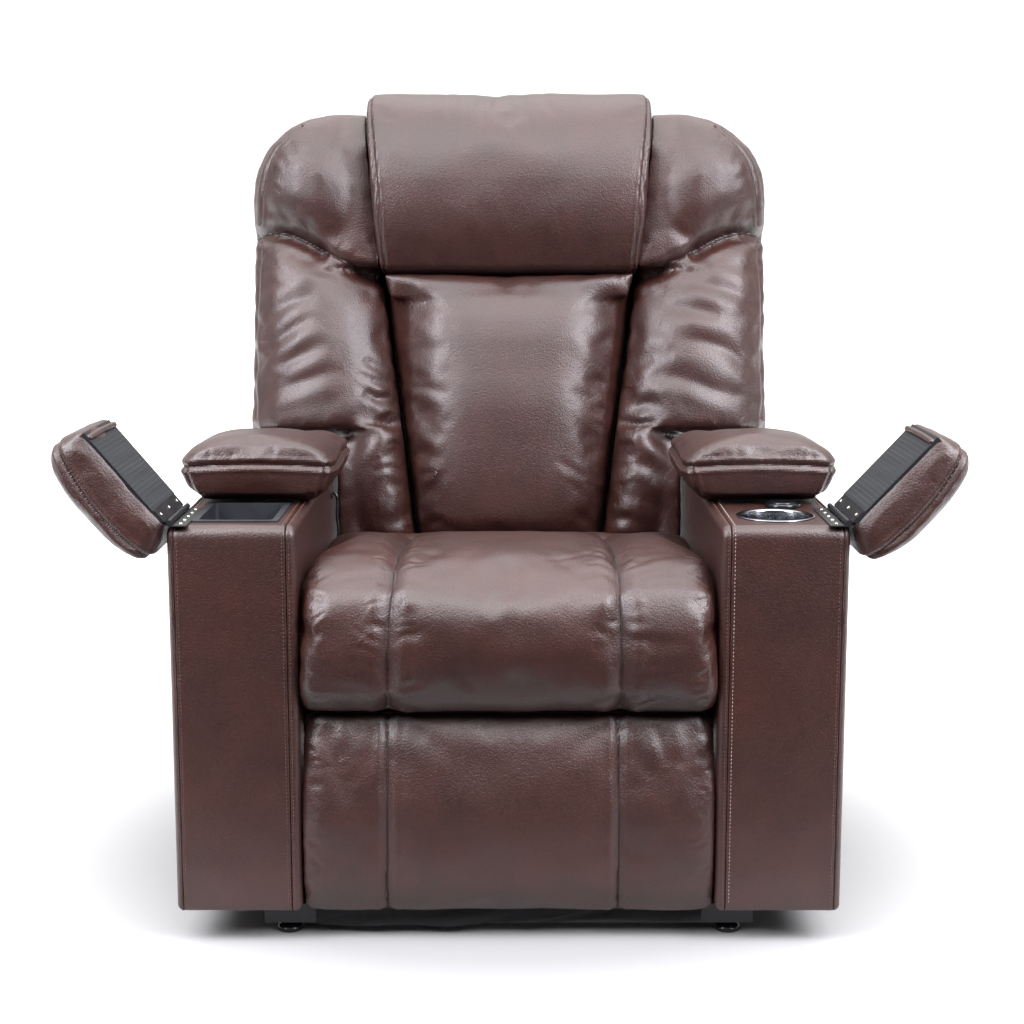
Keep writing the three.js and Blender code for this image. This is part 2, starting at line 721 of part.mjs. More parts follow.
function makeArm(name, side) {
  const group = new THREE.Group();
  const behindFront = panelThickness + fitGap;
  const [front0, front1] = sideRange(side, armInner, armOuter);
  const frontOutline = roundedRectangle(front0, front1, armBottom, deckTop, 2 * panelEdgeRadius);
  addMesh(group, `arm_front_panel_${name}`,
    extrudeAlongY(frontOutline, 0, panelThickness, { ...roundedEdge(panelEdgeRadius), curveSegments: 3 }),
    leather);

  const inner = sideRange(side, armInner, armInner + panelThickness);
  addMesh(group, `arm_inner_panel_${name}`,
    block(...inner, behindFront, armDepth, armBottom, panelTop), leather);

  const wall = side * (armOuter - panelThickness);
  const back = armDepth - panelThickness;
  const returnEnd = side * (armInner + panelThickness + fitGap);
  const wrap = new THREE.Shape();
  [[side * armOuter, behindFront], [side * armOuter, armDepth], [returnEnd, armDepth], [returnEnd, back],
    [wall, back], [wall, behindFront]].forEach(([x, y], i) => (i ? wrap.lineTo(x, y) : wrap.moveTo(x, y)));
  wrap.closePath();
  addMesh(group, `arm_outer_panel_${name}`, extrudeAlongZ(wrap, armBottom, panelTop), leather);

  const deck = block(front0, front1, behindFront, armDepth, deckBottom, deckTop);
  const above = deckTop + weld;
  const below = deckBottom - weld;
  const binRear = binFront + binLength;
  const openings = {
    left: [extrudeAlongZ(roundedRectangle(binOuterX[0] - fitGap, binOuterX[1] + fitGap,
      binFront - fitGap, binRear + fitGap, binCorner), below, above)],
    right: [
      rodAlongZ(cupRadius + cupWall + fitGap, below, above, cupCentre, cupSetback, 32),
      rodAlongZ(switchRadius - switchWall + fitGap, below, above, switchCentre, switchSetback, 24),
    ],
  };
  addMesh(group, `arm_deck_${name}`, cut(deck, ...openings[name]), leather);
  return group;
}

function makeStorageBin() {
  const [x0, x1] = binOuterX;
  const rear = binFront + binLength;
  const floor = deckTop - binDepth;
  const seat = deckTop + fitGap;
  const top = seat + flangeThickness;
  const tub = extrudeAlongZ(roundedRectangle(x0, x1, binFront, rear, binCorner), floor, top);
  const flange = extrudeAlongZ(roundedRectangle(
    x0 - binFlange, x1 + binFlange, binFront - binFlange, rear + binFlange, binCorner / 2), seat, top);
  const pocket = extrudeAlongZ(roundedRectangle(
    x0 + binWall, x1 - binWall, binFront + binWall, rear - binWall, binCorner - binWall),
  floor + binWall, top + weld);
  return cut(join(tub, flange), pocket);
}

function makeCupHolder() {
  const seat = deckTop + fitGap;
  const base = deckTop - cupDepth;
  const lip = 1.5;
  const profile = [
    [0, base], [cupBaseRadius, base], [cupRadius + cupWall, deckTop - 12], [cupRadius + cupWall, seat],
    [cupFlangeRadius, seat], [cupFlangeRadius, seat + lip], [cupRadius, seat + lip + 0.5],
    [cupRadius, deckTop - 12], [cupBaseRadius - cupWall, base + cupWall], [0, base + cupWall],
  ].map(([r, z]) => new THREE.Vector2(r, z));
  return new THREE.LatheGeometry(profile, 28).rotateX(Math.PI / 2).translate(cupCentre, cupSetback, 0);
}

// Push switch: a fixed bezel let into the deck, and the button that travels in its well
const switchWell = deckTop - switchStemDepth + switchFloor;

function makeSwitchHousing() {
  const stem = switchRadius - switchWall;
  const seat = deckTop + fitGap;
  const profile = [
    [0, deckTop - switchStemDepth], [stem, deckTop - switchStemDepth], [stem, seat], [switchRadius, seat],
    [switchRadius, seat + switchHeight - 2], [switchRadius - 2, seat + switchHeight],
    [buttonRadius + runningGap, seat + switchHeight], [buttonRadius + runningGap, switchWell],
    [0, switchWell],
  ].map(([r, z]) => new THREE.Vector2(r, z));
  return new THREE.LatheGeometry(profile, 24).rotateX(Math.PI / 2).translate(switchCentre, switchSetback, 0);
}

function makeSwitchButton() {
  const bottom = switchWell + switchTravel + fitGap;
  const top = deckTop + fitGap + switchHeight + buttonRise;
  const edge = 1.2;
  const crown = 0.5;
  const profile = [
    [0, bottom], [buttonRadius, bottom], [buttonRadius, top - edge], [buttonRadius - edge, top],
    [0, top + crown],
  ].map(([r, z]) => new THREE.Vector2(r, z));
  return new THREE.LatheGeometry(profile, 24).rotateX(Math.PI / 2).translate(switchCentre, switchSetback, 0);
}

// Stuffed pads: a crowned section swept along y, drawn in at both ends
function paddedRoll(section, y0, y1, endDepth, middleHeight) {
  const stations = [0, 0.12, 0.4, 1].map((share) => share * endDepth);
  const along = [...stations, (y1 - y0) / 2, ...stations.map((s) => y1 - y0 - s).reverse()];
  return loft(along.map((step) => {
    const toEnd = Math.min(step, y1 - y0 - step);
    const round = Math.sqrt(Math.min(1, toEnd / endDepth) * (2 - Math.min(1, toEnd / endDepth)));
    const scale = 0.8 + 0.2 * round;
    return section.map((p) => new THREE.Vector3(
      p.x * scale, y0 + step, middleHeight + (p.y - middleHeight) * scale));
  }));
}

const padSection = () => {
  const half = padWidth / 2;
  return restingRing([
    [-half + 26, 0], [0, 0], [half - 26, 0], [half - 6, 24], [half, 44], [half - 12, padHeight - 20],
    [half - 52, padHeight - 3], [0, padHeight], [-half + 52, padHeight - 3], [-half + 12, padHeight - 20],
    [-half, 44], [-half + 6, 24],
  ], 24);
};

// The crown of a pad falls away towards its rear end.
function lowerRear(geometry) {
  const at = geometry.attributes.position;
  for (let i = 0; i < at.count; i += 1) {
    const share = smoothStep(padFront + padLength * 0.3, padFront + padLength, at.getY(i));
    at.setZ(i, at.getZ(i) * (1 - (share * padRearDrop) / padHeight));
  }
  return geometry;
}

function makeArmPad(side) {
  const cushion = lowerRear(paddedRoll(padSection(), padFront, padFront + padLength, 34, padHeight * 0.45));
  cushion.translate(side * padCentre, 0, padBottom + padBaseThickness);
  const inset = 30;
  const base = block(
    side * padCentre - padWidth / 2 + inset, side * padCentre + padWidth / 2 - inset,
    padFront + inset, padFront + padLength - inset, padBottom, padBottom + padBaseThickness + weld);
  return join(cushion, base);
}

// Arm lids. Each is drawn shut, in a group whose origin lies on the hinge axis, and then turned open.
// Its reach is measured from the hinge towards the seat.
const knuckleCount = 5;
const leafRear = lidRear - 16;
const leafFront = lidFront + 8;
const boardLift = 4.5;

function knuckles(parity) {
  const pitch = (leafRear - leafFront) / knuckleCount;
  const list = [];
  for (let i = parity; i < knuckleCount; i += 2) {
    const start = leafFront + i * pitch;
    list.push(rodAlongY(barrelRadius, start + fitGap, start + pitch - fitGap, 0, 0, 14));
  }
  return list;
}

// A hinge leaf lies beside the barrel, and is cut back where the other leaf's knuckles turn.
function hingeLeaf(side, parity, z0, z1) {
  const [a, b] = [-side * leafWidth, 0].sort((m, n) => m - n);
  const plate = block(a, b, leafFront, leafRear, z0, z1);
  const relief = knuckles(1 - parity).map((knuckle) => knuckle.scale(1.22, 1, 1.22));
  const slots = relief.map((knuckle) => {
    knuckle.computeBoundingBox();
    const { min, max } = knuckle.boundingBox;
    return block(min.x, max.x, min.y - fitGap, max.y + fitGap, min.z, max.z);
  });
  return join(cut(plate, ...slots), ...knuckles(parity));
}

function makeDeckHinge(side) {
  const seat = deckTop + fitGap - hingeZ;
  return hingeLeaf(side, 0, seat, seat + leafThickness).translate(side * hingeX, 0, hingeZ);
}

function makeLid(name, side) {
  const group = new THREE.Group();
  group.position.set(side * hingeX, 0, hingeZ);
  group.rotation.y = side * THREE.MathUtils.degToRad(lidOpenAngle[name]);
  const boardStart = 6;
  const boardEnd = lidReach - 14;
  const reachRange = (from, to) => [-side * from, -side * to].sort((m, n) => m - n);
  const board = block(...reachRange(boardStart, boardEnd), lidFront + 8, lidRear - 10,
    boardLift, boardLift + lidBoardThickness);
  const leaf = hingeLeaf(side, 1, boardLift - leafThickness, boardLift + 0.2);
  addMesh(group, `lid_board_${name}`, join(board, leaf), blackFabric);

  const start = boardLift + lidBoardThickness + fitGap;
  const middle = (lidReach - lidOverhang) / 2;
  const half = (lidReach + lidOverhang) / 2;
  const section = restingRing([
    [-half + 18, 0], [0, 0], [half - 12, 0], [half - 3, 16], [half, 34], [half - 12, lidCrown - 12],
    [half - 50, lidCrown - 2], [0, lidCrown], [-half + 50, lidCrown - 2], [-half + 12, lidCrown - 14],
    [-half, 36], [-half + 7, 16],
  ], 24);
  const pad = paddedRoll(section, lidFront, lidRear, 26, lidCrown * 0.45);
  if (side > 0) pad.rotateZ(Math.PI).translate(0, lidFront + lidRear, 0);
  addMesh(group, `lid_pad_${name}`, pad.translate(-side * middle, 0, start), leather);
  return group;
}

// Backrest, drawn upright and then leaned back. Here y = 0 is the plane of its front seams.
const leanAngle = THREE.MathUtils.degToRad(backLean);

function toBackFrame([y, z]) {
  const [dy, dz] = [y - backSeamSetback, z - backSeamHeight];
  return [
    dy * Math.cos(leanAngle) - dz * Math.sin(leanAngle),
    dy * Math.sin(leanAngle) + dz * Math.cos(leanAngle),
  ];
}

const seamX = (z) => lerp(centreBottomHalfWidth, centreTopHalfWidth,
  THREE.MathUtils.clamp((z - centreBottom) / (centreTop - centreBottom), 0, 1));
const pillowX = (z) => lerp(pillowHalfWidthBottom, pillowHalfWidthTop,
  THREE.MathUtils.clamp((z - centreTop) / (pillowTop - 60 - centreTop), 0, 1));
const outerX = (z) => {
  if (z < wideStart) return narrowHalfWidth;
  const climb = THREE.MathUtils.clamp((z - wingCornerStart) / (wingTop - wingCornerStart), 0, 1);
  return wingTopHalfWidth + (wideHalfWidth - wingTopHalfWidth) * Math.sqrt(1 - climb * climb);
};

// The centre cushion is crowned from side to side and drawn in at its top and bottom seams.
function makeCentreCushion() {
  const rows = 12;
  return loft(Array.from({ length: rows + 1 }, (_, row) => {
    const share = row / rows;
    const z = lerp(centreBottom, centreTop, share);
    const half = seamX(z) - 1;
    const edge = Math.sin(Math.PI * share) ** 0.45;
    const front = lerp(26, -centreCrown, edge);
    const shoulder = lerp(44, 24, edge);
    return smoothRing([
      [-half + 3, backCushionDepth], [-half, shoulder + 30], [-half + 3, shoulder],
      [-half * 0.7, lerp(shoulder, front, 0.75)], [0, front], [half * 0.7, lerp(shoulder, front, 0.75)],
      [half - 3, shoulder], [half, shoulder + 30], [half - 3, backCushionDepth], [0, backCushionDepth],
    ], 20).map((p) => new THREE.Vector3(
      THREE.MathUtils.clamp(p.x, -half, half), Math.min(p.y, backCushionDepth), z));
  }));
}

// One side panel and the shoulder wing above it are one sewn cover, with a deep seam between them.
function makeSidePanel(side) {
  const ledge = (wideStart - centreBottom) / (wingSeamOuter - centreBottom);
  const seamRows = [0, 0.03, 0.12, 0.26, ledge - 0.002, ledge, 0.52, 0.68, 0.84, 0.95, 1];
  const wingRows = [0.03, 0.12, 0.3, 0.52, 0.72, 0.88, 0.96, 1];
  const gap = 2.5;
  const levels = [
    ...seamRows.map((share) => ({ share, wing: false })),
    ...wingRows.map((share) => ({ share, wing: true })),
  ];
  const seamAt = (x) => lerp(centreTop, wingSeamOuter, smoothStep(centreTopHalfWidth, wideHalfWidth - 30, x));
  const rings = levels.map(({ share, wing }) => {
    const z = wing ? lerp(wingSeamOuter, wingTop, share) : lerp(centreBottom, wingSeamOuter, share);
    const level = (x) => {
      if (wing) return lerp(seamAt(x), wingTop, share);
      return share <= ledge ? z : lerp(wideStart, seamAt(x), (share - ledge) / (1 - ledge));
    };
    const inner = (wing ? pillowX(z) : seamX(level(0))) + gap;
    const outer = !wing && share < ledge ? narrowHalfWidth : outerX(z);
    const swell = Math.sin(Math.PI * Math.min(1, share)) ** (wing ? 0.5 : 0.4);
    const front = lerp(30, wing ? -wingCrown : -sideCrown, swell);
    const shoulder = lerp(50, 22, swell);
    const width = outer - inner;
    const ring = smoothRing([
      [inner, backCushionDepth], [inner, shoulder + 34], [inner + 3, shoulder],
      [inner + width * 0.25, lerp(shoulder, front, 0.8)], [inner + width * 0.5, front],
      [outer - width * 0.2, lerp(shoulder, front, 0.6)], [outer - 3, shoulder + 14],
      [outer, shoulder + 40], [outer - 4, backCushionDepth], [inner + width / 2, backCushionDepth],
    ], 18);
    return ring.map((p) => new THREE.Vector3(
      side * THREE.MathUtils.clamp(p.x, inner, outer), Math.min(p.y, backCushionDepth), level(p.x)));
  });
  return loft(rings);
}

// The head pillow is a roll that drapes over the top of the back.
function makeHeadPillow() {
  const overhangRear = backOuterFace + 2;
  const drape = wingTop + 8;
  const outline = smoothRing([
    [14, centreTop + 2], [-20, centreTop + 26], [-pillowBulge + 4, centreTop + 90],
    [-pillowBulge, centreTop + 150], [-pillowBulge + 14, pillowTop - 66], [-6, pillowTop - 22],
    [42, pillowTop], [100, pillowTop - 4], [overhangRear, pillowTop - 18], [overhangRear, drape],
    [backCushionDepth + 2, drape], [backCushionDepth - 6, drape - 16],
    [backCushionDepth - 4, centreTop + 80], [backCushionDepth - 4, centreTop + 2],
  ], 24, 0.4).map((p) => new THREE.Vector2(
    p.y < drape ? Math.min(p.x, backCushionDepth - 1) : p.x, Math.max(p.y, centreTop + 2)));
  const middle = new THREE.Vector2(40, 720);
  const shares = [-1, -0.985, -0.94, -0.8, -0.4, 0, 0.4, 0.8, 0.94, 0.985, 1];
  return loft(shares.map((share) => {
    const round = Math.sqrt(1 - Math.min(1, Math.max(0, (Math.abs(share) - 0.9) / 0.1)) ** 2);
    const scale = 0.93 + 0.07 * round;
    return outline.map((p) => {
      const z = middle.y + (p.y - middle.y) * scale;
      return new THREE.Vector3(share * pillowX(z), middle.x + (p.x - middle.x) * scale, z);
    });
  }));
}

function backOutline(narrow, wide, bottom, top, ledge, cornerWidth, cornerHeight) {
  const shape = new THREE.Shape();
  shape.moveTo(-narrow, bottom);
  shape.lineTo(narrow, bottom);
  shape.lineTo(narrow, ledge);
  shape.lineTo(wide, ledge);
  shape.lineTo(wide, top - cornerHeight);
  shape.quadraticCurveTo(wide, top, wide - cornerWidth, top);
  shape.lineTo(cornerWidth - wide, top);
  shape.quadraticCurveTo(-wide, top, -wide, top - cornerHeight);
  shape.lineTo(-wide, ledge);
  shape.lineTo(-narrow, ledge);
  shape.closePath();
  return shape;
}

function makeBackrest() {
  const group = new THREE.Group();
  group.position.set(0, backSeamSetback, backSeamHeight);
  group.rotation.x = -leanAngle;
  addMesh(group, 'back_centre_cushion', makeCentreCushion(), leather);
  Object.entries(sides).forEach(([name, side]) => {
    addMesh(group, `back_side_panel_${name}`, makeSidePanel(side), leather);
  });
  addMesh(group, 'head_pillow', makeHeadPillow(), leather);

  const pivot = toBackFrame(reclinePivot);
  const crankPin = toBackFrame(reclineCrankPin);
  const bottom = pivot[1] + backTubeRadius + 13;
  const frameFront = backCushionDepth + fitGap;
  const frameRear = frameFront + backFrameThickness;
  const margin = 26;
  addMesh(group, 'back_frame_panel', extrudeAlongY(backOutline(backBracketInner - fitGap,
    wideHalfWidth - margin, bottom, wingTop - margin, wideStart + margin / 2, 90, 110),
  frameFront, frameRear), birchPly);
  addMesh(group, 'back_outer_cover', extrudeAlongY(backOutline(
    narrowHalfWidth, wideHalfWidth - 3, bottom, wingTop, wideStart, 96, 120),
  frameRear + fitGap, frameRear + fitGap + backCoverThickness, roundedEdge(panelEdgeRadius)), leather);

  const tube = crossTube(backTubeRadius, backBracketInner + weld, pivot);
  const bracketTop = [frameFront + backFrameThickness / 2 - 4, wideStart - 60];
  const brackets = Object.values(sides).map((side) => {
    const hole = new THREE.Path().absarc(...pivot, pinRadius + runningGap, 0, 2 * Math.PI, true);
    const outline = linkOutline(pivot, bracketTop, 36, 0, 0);
    outline.holes.push(hole);
    return sidePlate(outline, ...sideRange(side, backBracketInner, backBracketOuter));
  });
  const ears = crankEars(pivot, crankPin, backTubeRadius);
  addMesh(group, 'back_torque_tube', join(tube, ...brackets, ...ears), blackSteel);
  return group;
}

// Footrest: a stuffed panel on a board, carried on each side by two links in a row
function makeFootrest() {
  const group = new THREE.Group();
  Object.entries(sides).forEach(([name, side]) => {
    const hole = pinRadius + runningGap;
    const frontLink = sidePlate(linkOutline(footLinkPivot, elbowPivot, linkHeight, hole, 0),
      ...sideRange(side, frontLinkInner, frontLinkOuter));
    const elbow = rodAlongX(pinRadius, ...sideRange(side, rearLinkInner, frontLinkInner + weld), elbowPivot);
    addMesh(group, `footrest_front_link_${name}`, join(frontLink, elbow), zincSteel);
    addMesh(group, `footrest_rear_link_${name}`, sidePlate(
      linkOutline(elbowPivot, footBoardPivot, linkHeight - 2, hole, hole),
      ...sideRange(side, rearLinkInner, rearLinkOuter)), zincSteel);
  });

  const boardFront = footrestFace + footrestPadThickness + fitGap;
  const boardRear = boardFront + footrestBoardThickness;
  const margin = 6;
  const board = block(-cushionHalfWidth + margin, cushionHalfWidth - margin,
    boardFront, boardRear, footrestBottom + margin, footrestTop - margin);
  const brackets = Object.values(sides).flatMap((side) => {
    const outline = new THREE.Shape();
    const [y, z] = footBoardPivot;
    const eye = 12;
    const reach = 46;
    outline.moveTo(boardRear - weld, z + reach);
    outline.lineTo(boardRear - weld, z - reach);
    outline.lineTo(y - 4, z - eye);
    outline.absarc(y, z, eye, -Math.PI / 2, Math.PI / 2);
    outline.lineTo(y - 4, z + eye);
    outline.closePath();
    return [
      sidePlate(outline, ...sideRange(side, footBracketInner, footBracketOuter)),
      rodAlongX(pinRadius, ...sideRange(side, footBracketOuter - weld, rearLinkOuter), footBoardPivot),
    ];
  });
  addMesh(group, 'footrest_board', join(board, ...brackets), birchPly);
  addMesh(group, 'footrest_pad', makeFootrestPad(), leather);
  return group;
}

// The footrest's leather has two long seams that line up with the seat's channels.
function makeFootrestPad() {
  const rear = footrestFace + footrestPadThickness;
  const crown = 6;
  const seamDip = 5;
  return loft(seatStations().map((x) => {
    const toEnd = cushionHalfWidth - Math.abs(x);
    const drawn = 1 - Math.sqrt(Math.min(1, toEnd / 22));
    const fromSeam = Math.abs(Math.abs(x) - seatChannelHalfWidth);
    const dip = seamDip * Math.max(0, 1 - fromSeam / 16);
    const front = footrestFace + dip + 16 * drawn;
    const [bottom, top] = [footrestBottom + 5 * drawn, footrestTop - 5 * drawn];
    const middle = (bottom + top) / 2;
    return smoothRing([
      [rear, bottom], [rear - 16, bottom], [front + crown + 4, bottom + 8], [front + crown / 2, bottom + 34],
      [front, middle], [front + crown / 2, top - 34], [front + crown + 4, top - 8], [rear - 16, top],
      [rear, top], [rear, middle],
    ], 16).map((p) => new THREE.Vector3(x, Math.min(p.x, rear), THREE.MathUtils.clamp(p.y, bottom, top)));
  }));
}

// Switch lead, held at both ends: out of a grommet in the arm, down behind the seat, to the recline motor
const leadPoints = [
  [-armInner + grommetThickness + 2 * fitGap, grommetSetback, grommetHeight],
  [-261, 458, 524], [-257.8, 457.8, 520.5],
  [-256.8, 457, 510], [-257.6, 456, 490], [-255.6, 455, 468], [-257.2, 452, 440], [-255.8, 449.6, 400],
  [-256, 449, 350], [-254, 448.6, 304], [-246, 446, 268], [-222, 432, 252], [-170, 392, 247],
  [-110, 335, 243], [-62, 272, 239], [-38, 242, 236.5], [-gearboxHalfWidth - 2 * fitGap, 240, 236.5],
];

function makeLead() {
  const section = polygonSection(leadRadius, 8);
  const path = new THREE.CatmullRomCurve3(leadPoints.map((p) => new THREE.Vector3(...p)));
  return new THREE.ExtrudeGeometry(section,
    { steps: 44, extrudePath: path, bevelEnabled: false });
}

function makeGrommet() {
  const start = -armInner + fitGap;
  return rodAlongX(grommetRadius, start, start + grommetThickness, [grommetSetback, grommetHeight], 20);
}

// Assembly
const body = new THREE.Group();
body.add(makeBase(), makeLiftArms(), makeGuideLinks(), makeSeatFrame(), makeBackrest(), makeFootrest());
addMesh(body, 'seat_cushion', makeSeatCushion(), leather);
Object.entries(sides).forEach(([name, side]) => {
  body.add(makeArm(name, side), makeLid(name, side));
  addMesh(body, `arm_pad_${name}`, makeArmPad(side), leather);
  addMesh(body, `deck_hinge_${name}`, makeDeckHinge(side), blackSteel);
});
addMesh(body, 'storage_bin', makeStorageBin(), blackPlastic);
addMesh(body, 'cup_holder', makeCupHolder(), stainless);
addMesh(body, 'switch_housing', makeSwitchHousing(), glossPlastic);
addMesh(body, 'switch_button', makeSwitchButton(), glossPlastic);
addMesh(body, 'lead_grommet', makeGrommet(), blackRubber);
addMesh(body, 'switch_lead', makeLead(), blackRubber);
body.add(
  makeActuator({
    name: 'lift_actuator', from: liftMotorPivot, to: liftCrankPin, stroke: liftStroke,
    motorSide: -1, eyeClearance: liftEyeClearance,
  }),
  makeActuator({
    name: 'recline_actuator', from: reclineMotorPivot, to: reclineCrankPin, stroke: reclineStroke,
    motorSide: -1, eyeClearance: reclineEyeClearance,
  }));

// The origin lies on the floor below the middle of the chair's box.
const boxDepthMiddle = 398;
body.position.y = -boxDepthMiddle;
chair.add(body);

export default chair;
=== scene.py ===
# %% [markdown]
# # A lift recliner chair in brown bonded leather
#
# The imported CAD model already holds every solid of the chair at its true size, with its joints.
# This lesson dresses it: each stuffed piece gets a sewn, crowned skin, the arms get their covers,
# and the steel, plastic and thread get materials that start from what the real ones are.
# Everything is in metres, in the frame of the CAD model, so nothing has to be fitted by eye.

import math

import bmesh
import bpy
import numpy as np
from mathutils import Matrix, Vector
from mathutils.bvhtree import BVHTree


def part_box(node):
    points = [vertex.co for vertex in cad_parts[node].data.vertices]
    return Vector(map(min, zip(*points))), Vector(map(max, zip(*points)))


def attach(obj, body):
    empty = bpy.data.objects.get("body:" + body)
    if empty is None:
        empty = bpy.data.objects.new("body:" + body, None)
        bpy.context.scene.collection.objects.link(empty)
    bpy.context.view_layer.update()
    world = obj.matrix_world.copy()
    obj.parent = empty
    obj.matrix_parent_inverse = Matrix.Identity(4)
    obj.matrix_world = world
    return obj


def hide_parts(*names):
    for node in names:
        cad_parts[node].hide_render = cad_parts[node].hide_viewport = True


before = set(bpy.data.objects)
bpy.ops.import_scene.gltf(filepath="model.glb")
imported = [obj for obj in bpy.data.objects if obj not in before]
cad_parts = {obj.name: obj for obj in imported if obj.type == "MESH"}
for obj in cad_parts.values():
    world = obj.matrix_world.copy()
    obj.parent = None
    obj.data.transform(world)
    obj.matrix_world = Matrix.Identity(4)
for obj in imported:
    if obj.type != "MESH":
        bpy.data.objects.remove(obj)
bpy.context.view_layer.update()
scene = bpy.context.scene

# %% [markdown]
# ## Camera
#
# A product photograph of furniture is taken from the front, a little above the arms, with a long
# lens, so that upright edges stay nearly parallel. The lens and the height were found by matching
# the arm fronts, the glides and the top of the head pillow to their places in the picture.

# %% Camera
SENSOR_WIDTH = 36.0
LENS = 65.04
CAMERA_PLACE = (0.0044, -2.676, 0.9436)
CAMERA_TILT_DOWN = math.radians(9.3)

camera = bpy.data.objects.new("camera", bpy.data.cameras.new("camera"))
camera.data.sensor_width = SENSOR_WIDTH
camera.data.lens = LENS
camera.location = CAMERA_PLACE
camera.rotation_euler = (math.radians(90) - CAMERA_TILT_DOWN, 0, 0)
scene.collection.objects.link(camera)
scene.camera = camera
print("lens", LENS, "mm at height", CAMERA_PLACE[2], "m")

# %% [markdown]
# ## Colour and nodes
#
# Colours are read off as sRGB hex values, because that is how anyone picks them from a picture.
# Cycles works in linear light, so one function turns them over. Materials are built from nodes,
# and one small function adds a node with its settings and links.

# %% Colour and node helpers
def linear(hex_colour):
    """An sRGB hex value as linear RGBA."""
    channels = [int(hex_colour[i:i + 2], 16) / 255 for i in (1, 3, 5)]
    return [c / 12.92 if c <= 0.04045 else ((c + 0.055) / 1.055) ** 2.4 for c in channels] + [1.0]


def add_node(tree, kind, settings=None, links=None):
    """Adds a node. settings fills its properties and its sockets, and links feeds its sockets."""
    made = tree.nodes.new(kind)
    for name, value in (settings or {}).items():
        if isinstance(name, int) or name in made.inputs:
            made.inputs[name].default_value = value
        else:
            setattr(made, name, value)
    for name, source in (links or {}).items():
        tree.links.new(source, made.inputs[name])
    return made


def new_material(name):
    """An empty node material with its output, its shader and its object coordinates in metres."""
    material = bpy.data.materials.new(name)
    material.use_nodes = True
    tree = material.node_tree
    tree.nodes.clear()
    shader = add_node(tree, "ShaderNodeBsdfPrincipled")
    add_node(tree, "ShaderNodeOutputMaterial", links={"Surface": shader.outputs[0]})
    place = add_node(tree, "ShaderNodeTexCoord").outputs["Object"]
    return material, tree, shader, place


def per_metre(millimetres):
    """The texture scale that gives a pattern this size."""
    return 1000.0 / millimetres

# %% [markdown]
# ## Bonded leather
#
# The cover is bonded leather: a thin split with a pigmented, embossed polyurethane face. The
# embossing gives an even pebble grain about 1 mm across, the pigment hides the hide, and the clear
# top coat makes it semi-gloss, so broad lamps show as soft pale patches. The colour is two browns
# that mottle over a few centimetres, and it is darker in the valleys of the grain and lighter on
# its pebbles. The grain and the creases between its pebbles are drawn 2.4 and 2.2 mm across,
# because the real ones, of 1 mm and less, are under one pixel in the picture.

# %% Leather
LEATHER_DARK = "#25110d"
LEATHER_MID = "#371b15"
LEATHER_RED = "#421b12"
LEATHER_ROUGHNESS = 0.42
MOTTLE, WARM_PATCH, FLECK, PEBBLE, CREASE = 45, 140, 5, 2.4, 2.2  # millimetres across
COAT_WEIGHT, COAT_ROUGHNESS = 0.35, 0.38


def leather_material(name, dark, mid, red, roughness):
    """Two mottled browns with reddish patches, a pebble grain and a thin clear coat."""
    material, tree, shader, place = new_material(name)
    cloud = add_node(tree, "ShaderNodeTexNoise", {"Scale": per_metre(MOTTLE), "Detail": 5.0},
                     {"Vector": place}).outputs["Fac"]
    fleck = add_node(tree, "ShaderNodeTexNoise", {"Scale": per_metre(FLECK), "Detail": 3.0},
                     {"Vector": place}).outputs["Fac"]
    both = add_node(tree, "ShaderNodeMath", {"operation": "MULTIPLY_ADD", 1: 0.45},
                    {0: fleck, 2: cloud}).outputs[0]
    tone = add_node(tree, "ShaderNodeMapRange", {"From Min": 0.35, "From Max": 1.1},
                    {"Value": both})
    browns = add_node(tree, "ShaderNodeMixRGB", {"Color1": linear(dark), "Color2": linear(mid)},
                      {"Fac": tone.outputs[0]}).outputs[0]
    warm = add_node(tree, "ShaderNodeTexNoise", {"Scale": per_metre(WARM_PATCH), "Detail": 2.0},
                    {"Vector": place}).outputs["Fac"]
    warmth = add_node(tree, "ShaderNodeMapRange",
                      {"From Min": 0.4, "From Max": 0.8, "To Max": 0.3}, {"Value": warm})
    colour = add_node(tree, "ShaderNodeMixRGB", {"Color2": linear(red)},
                      {"Fac": warmth.outputs[0], "Color1": browns}).outputs[0]
    grain = add_node(tree, "ShaderNodeTexVoronoi",
                     {"feature": "SMOOTH_F1", "Scale": per_metre(PEBBLE), "Smoothness": 0.6},
                     {"Vector": place}).outputs["Distance"]
    # The colour is made darker in the valleys of the grain and lighter on its pebbles.
    shade = add_node(tree, "ShaderNodeMapRange", {"From Min": 0.1, "From Max": 0.8, "To Min": 1.12,
                                                 "To Max": 0.78}, {"Value": grain}).outputs[0]
    grain_toned = add_node(tree, "ShaderNodeVectorMath", {"operation": "SCALE"},
                    {0: colour, "Scale": shade}).outputs[0]
    gloss = add_node(tree, "ShaderNodeMapRange",
                     {"To Min": roughness - 0.05, "To Max": roughness + 0.07},
                     {"Value": fleck}).outputs[0]
    lines = add_node(tree, "ShaderNodeTexNoise", {"Scale": per_metre(CREASE), "Detail": 3.0},
                     {"Vector": place}).outputs["Fac"]
    relief = add_node(tree, "ShaderNodeMath", {"operation": "MULTIPLY_ADD", 1: -0.6},
                      {0: grain, 2: lines}).outputs[0]
    bump = add_node(tree, "ShaderNodeBump", {"Strength": 0.8, "Distance": 0.0007},
                    {"Height": relief})
    tree.links.new(grain_toned, shader.inputs["Base Color"])
    tree.links.new(gloss, shader.inputs["Roughness"])
    tree.links.new(bump.outputs[0], shader.inputs["Normal"])
    shader.inputs["IOR"].default_value = 1.5
    shader.inputs["Coat Weight"].default_value = COAT_WEIGHT
    shader.inputs["Coat Roughness"].default_value = COAT_ROUGHNESS
    return material


